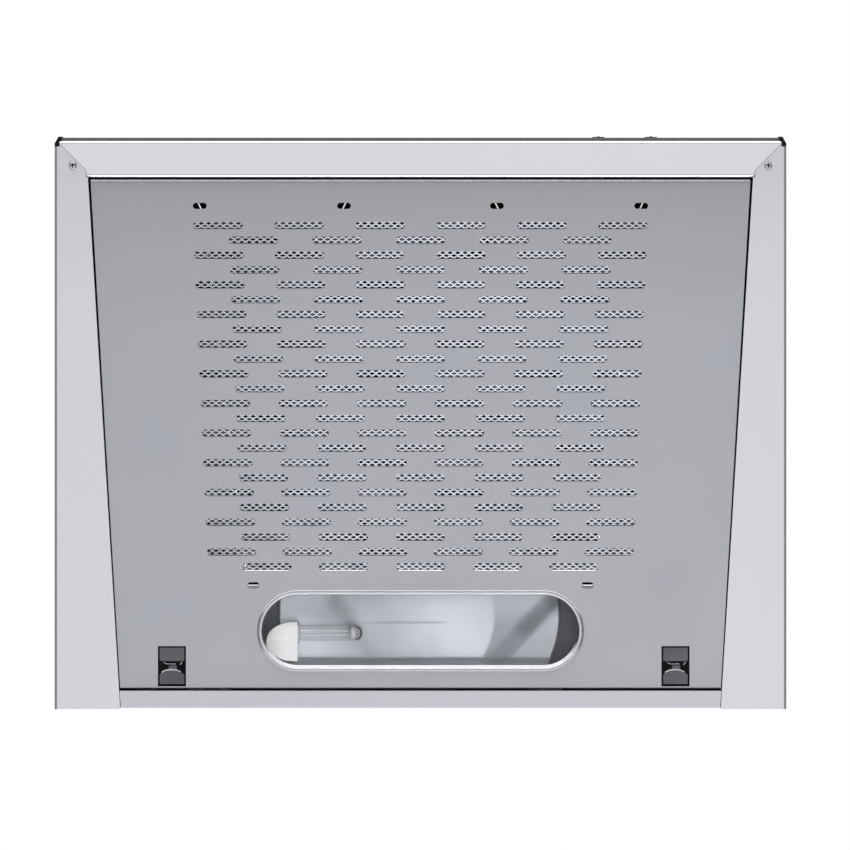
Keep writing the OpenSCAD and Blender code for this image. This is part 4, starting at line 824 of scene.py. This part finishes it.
class HOOD_OT_lamp(bpy.types.Operator):
    """Make the lamp: tray, anodised liner, holder and bulb"""
    bl_idname = "hood.lamp"
    bl_label = "Lamp"

    def execute(self, context):
        sheet = context.scene.hood_sizes.liner_sheet
        dress(shaded_tray(), "lamp_reflector")
        liner = make("reflector_liner", "casing", self.liner(), bright_reflector(),
                     sharp=18)
        mod = liner.modifiers.new("sheet", "SOLIDIFY")
        mod.thickness = sheet
        mod.offset = 1.0
        self.holder()
        self.bulb()
        return {"FINISHED"}

    @staticmethod
    def liner():
        """A trough over the lamp that slopes down in facets to its arched right end."""
        mid_y = middle("lamp_lens")[1]
        left, right, roof = -117, 107, 42.5
        front, depth = -33.0, 62.5
        cols, rows = 96, 60
        points, faces = [], []
        for j in range(rows + 1):
            v = front + depth * j / rows
            rear_fall = 0.36 * max(0.0, v - 21.5) ** 2
            end = right + 7.5 * (1 - ((v + 11) / 34) ** 2)
            crease = 60.3 - 0.0088 * (v + 11) ** 2
            for i in range(cols + 1):
                x = left + (end - left) * i / cols
                past = (x - 102) * 0.737 + (v + 29) * 0.676
                slope = 0.16 * max(0.0, x - crease)
                slope += 0.12 * min(max(past, 0.0), 14.0) - 0.08 * max(0.0, past - 14.0)
                fold = 0.25 * min(1.0, max(0.0, (x + 47) / 15), max(0.0, (28 - x) / 15))
                z = roof - max(0.0, slope) - rear_fall - fold * (v > -6.8)
                points.append((x, mid_y + v, z))
        for j in range(rows):
            for i in range(cols):
                a = j * (cols + 1) + i
                faces.append((a, a + 1, a + cols + 2, a + cols + 1))
        return points, faces

    @staticmethod
    def holder():
        """Finish the ceramic holder and make its collar round the bulb's base."""
        low, high = corner("lamp_bulb")
        x = corner("lamp_holder")[1][0]
        y, z, r = (low[1] + high[1]) / 2, (low[2] + high[2]) / 2, (high[1] - low[1]) / 2
        collar = turned([(r + 0.3, x - 0.4), (r + 2.0, x - 0.4), (r + 2.0, x + 0.8),
                         (r + 1.4, x + 1.4), (r + 0.3, x + 1.4), (r + 0.3, x - 0.4)], 40,
                        (0, y, z), "X")
        glaze = steatite()
        # Painted shade on the holder: a band down its left end and one across it.
        shaded = steatite("shaded_steatite", ((-130, 150, 0), (-130, 205, 0), 20, 0.5),
                          ((-128, 160, 0), (-98, 160, 0), 10, 0.5))
        dress(shaded, "lamp_holder")
        soften(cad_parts["lamp_holder"], 2.2, 4)
        make("lamp_holder_collar", "casing", collar, glaze)

    @staticmethod
    def bulb():
        """Clear tubular bulb with its sealed tip and the wires inside."""
        low, high = corner("lamp_bulb")
        y, z = (low[1] + high[1]) / 2, (low[2] + high[2]) / 2
        r = (high[1] - low[1]) / 2
        x0, x1 = low[0], high[0]
        seam = corner("lamp_holder")[1][0]
        shell = turned([(0, seam - 2), (r - 0.6, seam - 2), (r, seam), (r, seam + 3), (r, x1 - 8),
                        (r * 0.97, x1 - 6.5), (r * 0.88, x1 - 5), (r * 0.7, x1 - 3.4),
                        (r * 0.45, x1 - 2.3), (0, x1 - 1.9)], 40, (0, y, z), "X")
        make("bulb_shell", "casing", shell, bulb_glass(), stands_for=("lamp_bulb",))
        tip = turned([(0, x1 - 11.5), (r * 0.6, x1 - 11.2), (r * 0.93, x1 - 9.6),
                      (r * 0.8, x1 - 8.2), (r * 0.9, x1 - 6.6), (r * 0.6, x1 - 5.6),
                      (0, x1 - 5.4)], 28, (0, y, z), "X")
        make("bulb_seal", "casing", tip, steatite("fused_glass_seal"), sharp=25)
        hook = []
        for i in range(25):
            a = math.radians(-100 + 9.5 * i)
            reach = 3.6 if i > 4 else 3.6 * 0.7
            hook.append((x1 - 5.2 + reach * math.cos(a), y + 5.0 * math.sin(a), z - 1.5))
        base = turned([(0, x0), (r * 0.5, x0), (r * 0.98, x0 + 3), (r * 0.98, seam - 2.2),
                       (0, seam - 2.2)], 32, (0, y, z), "X")
        wires = [tube([(seam - 2, y + d, z), (x1 - 11, y + d * 0.7, z)], 0.3, 8)
                 for d in (-2.2, 2.2)]
        make("bulb_base", "casing", joined(base, *wires), zinc_plated("nickel_base"))
        make("bulb_hook", "casing", tube(hook, 0.7, 8), blackened("blackened_wire"))


def tube(path, r, sides):
    """Round wire along a path of points."""
    rings = []
    for i, p in enumerate(path):
        p = Vector(p)
        ahead = Vector(path[min(i + 1, len(path) - 1)]) - Vector(path[max(i - 1, 0)])
        ahead.normalize()
        u = ahead.cross(Vector((0.31, 0.2, 0.93))).normalized()
        v = ahead.cross(u)
        rings.append([tuple(p + r * (math.cos(2 * math.pi * k / sides) * u
                                     + math.sin(2 * math.pi * k / sides) * v))
                      for k in range(sides)])
    return caps(*skin(rings), rings)


class HOOD_OT_latches(bpy.types.Operator):
    """Make the latch sliders: a carrier in painted shade with two finger pads, a waist and ribs
    with painted highlights
    """
    bl_idname = "hood.latches"
    bl_label = "Latches"

    def execute(self, context):
        tone = context.scene.hood_finish
        pads = moulded("moulded_pads", tone.latch, rough=(0.34, 0.46))
        # Painted shade: the carrier and guides are laid near black.
        carrier = moulded("moulded_carrier", tone.carrier, rough=(0.5, 0.6), shine=0.05)
        # Painted highlight: the ribs are a pale, glossier copy of the pads' plastic.
        rib_highlight = moulded("painted_highlight_rib", linear("#A9AAB1"), rough=(0.18, 0.26))
        dress(carrier, "latch_guide_left", "latch_guide_right")
        dress(drawn_wire("drawn_latch_spring"), "latch_spring_left", "latch_spring_right")
        for side in ("left", "right"):
            node = "latch_slider_" + side
            low, high = corner(node)
            body = "latch_" + side
            parts = self.slider(low, high)
            make("latch_carrier_" + side, body, parts[0], carrier,
                 stands_for=(node,))
            make("latch_pads_" + side, body, parts[1], pads, bevel=0.25)
            make("latch_ribs_" + side, body, parts[2], rib_highlight, bevel=0.15)
        return {"FINISHED"}

    @staticmethod
    def slider(low, high):
        """Carrier, pads and ribs of one slider; the pads show in the grille's opening."""
        x = (low[0] + high[0]) / 2
        front = high[1] - 36.3
        bottom = low[2]
        sunk, floor, top = bottom + 0.9, bottom + 1.9, bottom + 3.0
        rear = high[1] - front

        def pad(pairs, z0, z1):
            return prism([(x + u, front + v) for u, v in pairs], z0, z1)

        plate = [(-13.4, -5.8), (13.4, -5.8), (13.4, rear), (-13.4, rear)]
        pusher = [(-3.0, -5.8), (3.0, -5.8), (3.0, -0.8), (-3.0, -0.8)]
        front_pad = [(-10.2, 1.3), (10.2, 1.3), (10.2, 12.0), (9.4, 12.6), (-9.4, 12.6),
                     (-10.2, 12.0)]
        rear_pad = [(-10.2, 23.6), (-8.6, 21.6), (-4.8, 20.1), (-0.6, 19.6), (3.6, 20.0),
                    (7.2, 21.5), (10.2, 23.6), (10.2, 31.4), (-10.2, 31.4)]
        waist = [(-2.8, 16.0), (4.0, 16.0), (4.0, 20.2), (-2.8, 20.2)]
        front_rib = [(-7.6, 13.2), (-6.8, 13.2), (-4.4, 14.5), (3.2, 14.5), (3.2, 15.2),
                     (-4.8, 15.1)]
        side_rib = [(6.2, 15.4), (8.1, 12.9), (8.7, 13.3), (6.8, 15.8)]
        rear_rib = [(-8.2, 22.2), (-4.8, 20.5), (-0.6, 20.0), (3.6, 20.3), (7.0, 21.8),
                    (7.6, 21.0), (3.8, 19.3), (-0.6, 18.8), (-5.0, 19.3), (-8.8, 21.2)]
        carrier = joined(pad(plate, floor, top), pad(pusher, top - 0.2, high[2]))
        pads = joined(pad(front_pad, bottom, floor + 0.1), pad(rear_pad, bottom, floor + 0.1),
                      pad(waist, sunk, floor + 0.1))
        ribs = joined(pad(front_rib, sunk, floor + 0.1), pad(side_rib, sunk, floor + 0.1),
                      pad(rear_rib, bottom - 0.05, floor + 0.1))
        return carrier, pads, ribs


class HOOD_OT_blower(bpy.types.Operator):
    """Finish the blower: scroll, inlet ring, impeller, motor and shaft"""
    bl_idname = "hood.blower"
    bl_label = "Blower"

    def execute(self, context):
        tone = context.scene.hood_finish
        dress(moulded("moulded_scroll", tone.blower, grain=1.6), "scroll_base", "scroll_cover",
              "inlet_ring")
        dress(moulded("moulded_impeller", tone.blower, rough=(0.34, 0.46)), "impeller")
        dress(galvanised("galvanised_motor"), "fan_motor")
        dress(ground_steel(), "fan_shaft")
        dress(zinc_plated("zinc_plated_fixings"), "shaft_nut", "fan_screws", "motor_screws",
              "collar_screws", "lid_screws", "flap_pin")
        return {"FINISHED"}


class HOOD_OT_collar(bpy.types.Operator):
    """Finish the duct collar and its two flaps"""
    bl_idname = "hood.collar"
    bl_label = "Duct collar"

    def execute(self, context):
        dress(moulded("moulded_collar", linear("#303136"), grain=1.2), "duct_collar")
        dress(moulded("moulded_flap", linear("#5A5B60")), "flap_front", "flap_rear")
        return {"FINISHED"}


class HOOD_OT_electrics(bpy.types.Operator):
    """Finish the terminal box, its block and lid, the capacitor and the cable gland"""
    bl_idname = "hood.electrics"
    bl_label = "Electrics"

    def execute(self, context):
        tone = context.scene.hood_finish
        dress(moulded("moulded_box", linear("#D9D9D6")), "terminal_box", "terminal_lid",
              "motor_capacitor")
        dress(moulded("moulded_block", linear("#DDD6C0")), "terminal_block")
        dress(moulded("moulded_gland", linear("#17171A")), "cable_gland")
        return {"FINISHED"}


class HOOD_OT_stage(bpy.types.Operator):
    """Make the camera below the hood, the soft lamps, the sky and the pale floor"""
    bl_idname = "hood.stage"
    bl_label = "Stage"

    def execute(self, context):
        studio = context.scene.hood_studio
        scene = context.scene
        scene.view_settings.view_transform = "Standard"
        self.camera(scene, studio)
        self.sky(scene, studio)
        self.floor(scene, studio)
        self.lamp(scene, "below_lamp", (0.15, 0.5, -2.5), (1.2, 1.2), studio.below)
        self.lamp(scene, "front_lamp", (-0.3, -2.6, -0.7), (3.0, 0.8), studio.front)
        self.lamp(scene, "rear_lamp", (0.3, 2.6, -0.25), (3.0, 0.8), studio.rear)
        self.lamp(scene, "top_lamp", (0.6, -1.2, 2.4), (2.0, 1.4), studio.top)
        return {"FINISHED"}

    @staticmethod
    def camera(scene, studio):
        right, back = 0.0037, 0.0021
        cam = bpy.data.cameras.new("camera")
        cam.sensor_width = 36
        cam.lens = 36 * studio.distance / studio.width
        cam.clip_start = 0.05
        cam.clip_end = 60
        obj = bpy.data.objects.new("camera", cam)
        obj.location = (right, back, -studio.distance)
        obj.rotation_euler = (math.pi, 0, 0)
        scene.collection.objects.link(obj)
        scene.camera = obj

    @staticmethod
    def sky(scene, studio):
        world = bpy.data.worlds.new("sky")
        world.use_nodes = True
        tree = world.node_tree
        tree.nodes.clear()
        ray = add(tree, "ShaderNodeLightPath")
        seen = add(tree, "ShaderNodeMath", {0: ray.outputs["Is Camera Ray"],
                                            1: ray.outputs["Is Glossy Ray"]}, operation="MAXIMUM")
        seen = add(tree, "ShaderNodeMath", {0: seen.outputs["Value"],
                                            1: ray.outputs["Is Transmission Ray"]},
                   operation="MAXIMUM")
        soft = add(tree, "ShaderNodeBackground", {"Color": linear("#F4F6FA"),
                                                  "Strength": studio.sky})
        white = add(tree, "ShaderNodeBackground", {"Color": linear("#FFFFFF"), "Strength": 1.0})
        mix = add(tree, "ShaderNodeMixShader", {0: seen.outputs["Value"],
                                                1: soft.outputs["Background"],
                                                2: white.outputs["Background"]})
        add(tree, "ShaderNodeOutputWorld", {"Surface": mix.outputs["Shader"]})
        scene.world = world

    @staticmethod
    def floor(scene, studio):
        """Pale floor, seen from above only, that fades into the white background far off."""
        mat = bpy.data.materials.new("pale_floor")
        mat.use_nodes = True
        tree = mat.node_tree
        tree.nodes.clear()
        ray = add(tree, "ShaderNodeLightPath")
        back = add(tree, "ShaderNodeNewGeometry").outputs["Backfacing"]
        shown = add(tree, "ShaderNodeMath", {0: ray.outputs["Is Camera Ray"], 1: back},
                    operation="SUBTRACT", use_clamp=True)
        unseen = add(tree, "ShaderNodeBsdfTransparent")
        paint = add(tree, "ShaderNodeBsdfDiffuse", {"Color": linear("#F7F7F7")})
        white = add(tree, "ShaderNodeEmission", {"Color": linear("#FFFFFF"), "Strength": 1.0})
        place = add(tree, "ShaderNodeTexCoord").outputs["Object"]
        away = add(tree, "ShaderNodeVectorMath", {0: place}, operation="LENGTH")
        far = add(tree, "ShaderNodeMapRange", {"Value": away.outputs["Value"], "From Min": 0.7,
                                               "From Max": 2.4, "To Min": 0.45, "To Max": 1.0})
        pale = add(tree, "ShaderNodeMixShader", {0: far.outputs["Result"], 1: paint.outputs["BSDF"],
                                                 2: white.outputs["Emission"]})
        mix = add(tree, "ShaderNodeMixShader", {0: shown.outputs["Value"],
                                                1: unseen.outputs["BSDF"],
                                                2: pale.outputs["Shader"]})
        add(tree, "ShaderNodeOutputMaterial", {"Surface": mix.outputs["Shader"]})
        half, z = 6.0, -studio.floor
        mesh = bpy.data.meshes.new("floor")
        mesh.from_pydata([(-half, -half, z), (half, -half, z), (half, half, z), (-half, half, z)],
                         [], [(0, 1, 2, 3)])
        mesh.materials.append(mat)
        obj = bpy.data.objects.new("floor", mesh)
        scene.collection.objects.link(obj)

    @staticmethod
    def lamp(scene, name, place, size, power):
        light = bpy.data.lights.new(name, "AREA")
        light.shape = "RECTANGLE"
        light.size, light.size_y = size
        light.energy = power
        obj = bpy.data.objects.new(name, light)
        obj.location = place
        obj.rotation_euler = (Vector(place) * -1).to_track_quat("-Z", "Y").to_euler()
        obj.visible_camera = False
        scene.collection.objects.link(obj)


class HOOD_PT_panel(bpy.types.Panel):
    """Sidebar panel that lists the hood's operators and settings"""
    bl_label = "Range hood"
    bl_idname = "HOOD_PT_panel"
    bl_space_type = "VIEW_3D"
    bl_region_type = "UI"
    bl_category = "Hood"

    def draw(self, context):
        for cls in OPERATORS:
            self.layout.operator(cls.bl_idname)
        for group in (context.scene.hood_finish, context.scene.hood_sizes,
                      context.scene.hood_studio):
            box = self.layout.box()
            for key in group.bl_rna.properties.keys():
                if key not in ("rna_type", "name"):
                    box.prop(group, key)


OPERATORS = (
    HOOD_OT_stage, HOOD_OT_casing, HOOD_OT_controls, HOOD_OT_corner_screws, HOOD_OT_grille,
    HOOD_OT_filter, HOOD_OT_cover, HOOD_OT_lamp, HOOD_OT_latches, HOOD_OT_blower,
    HOOD_OT_collar, HOOD_OT_electrics,
)
GROUPS = (HoodFinish, HoodSizes, HoodStudio)


def register():
    for cls in GROUPS + OPERATORS + (HOOD_PT_panel,):
        bpy.utils.register_class(cls)
    bpy.types.Scene.hood_finish = PointerProperty(type=HoodFinish)
    bpy.types.Scene.hood_sizes = PointerProperty(type=HoodSizes)
    bpy.types.Scene.hood_studio = PointerProperty(type=HoodStudio)


def unregister():
    del bpy.types.Scene.hood_studio
    del bpy.types.Scene.hood_sizes
    del bpy.types.Scene.hood_finish
    for cls in reversed(GROUPS + OPERATORS + (HOOD_PT_panel,)):
        bpy.utils.unregister_class(cls)


def main():
    register()
    for cls in OPERATORS:
        family, name = cls.bl_idname.split(".")
        getattr(getattr(bpy.ops, family), name)()


if __name__ == "__main__":
    main()
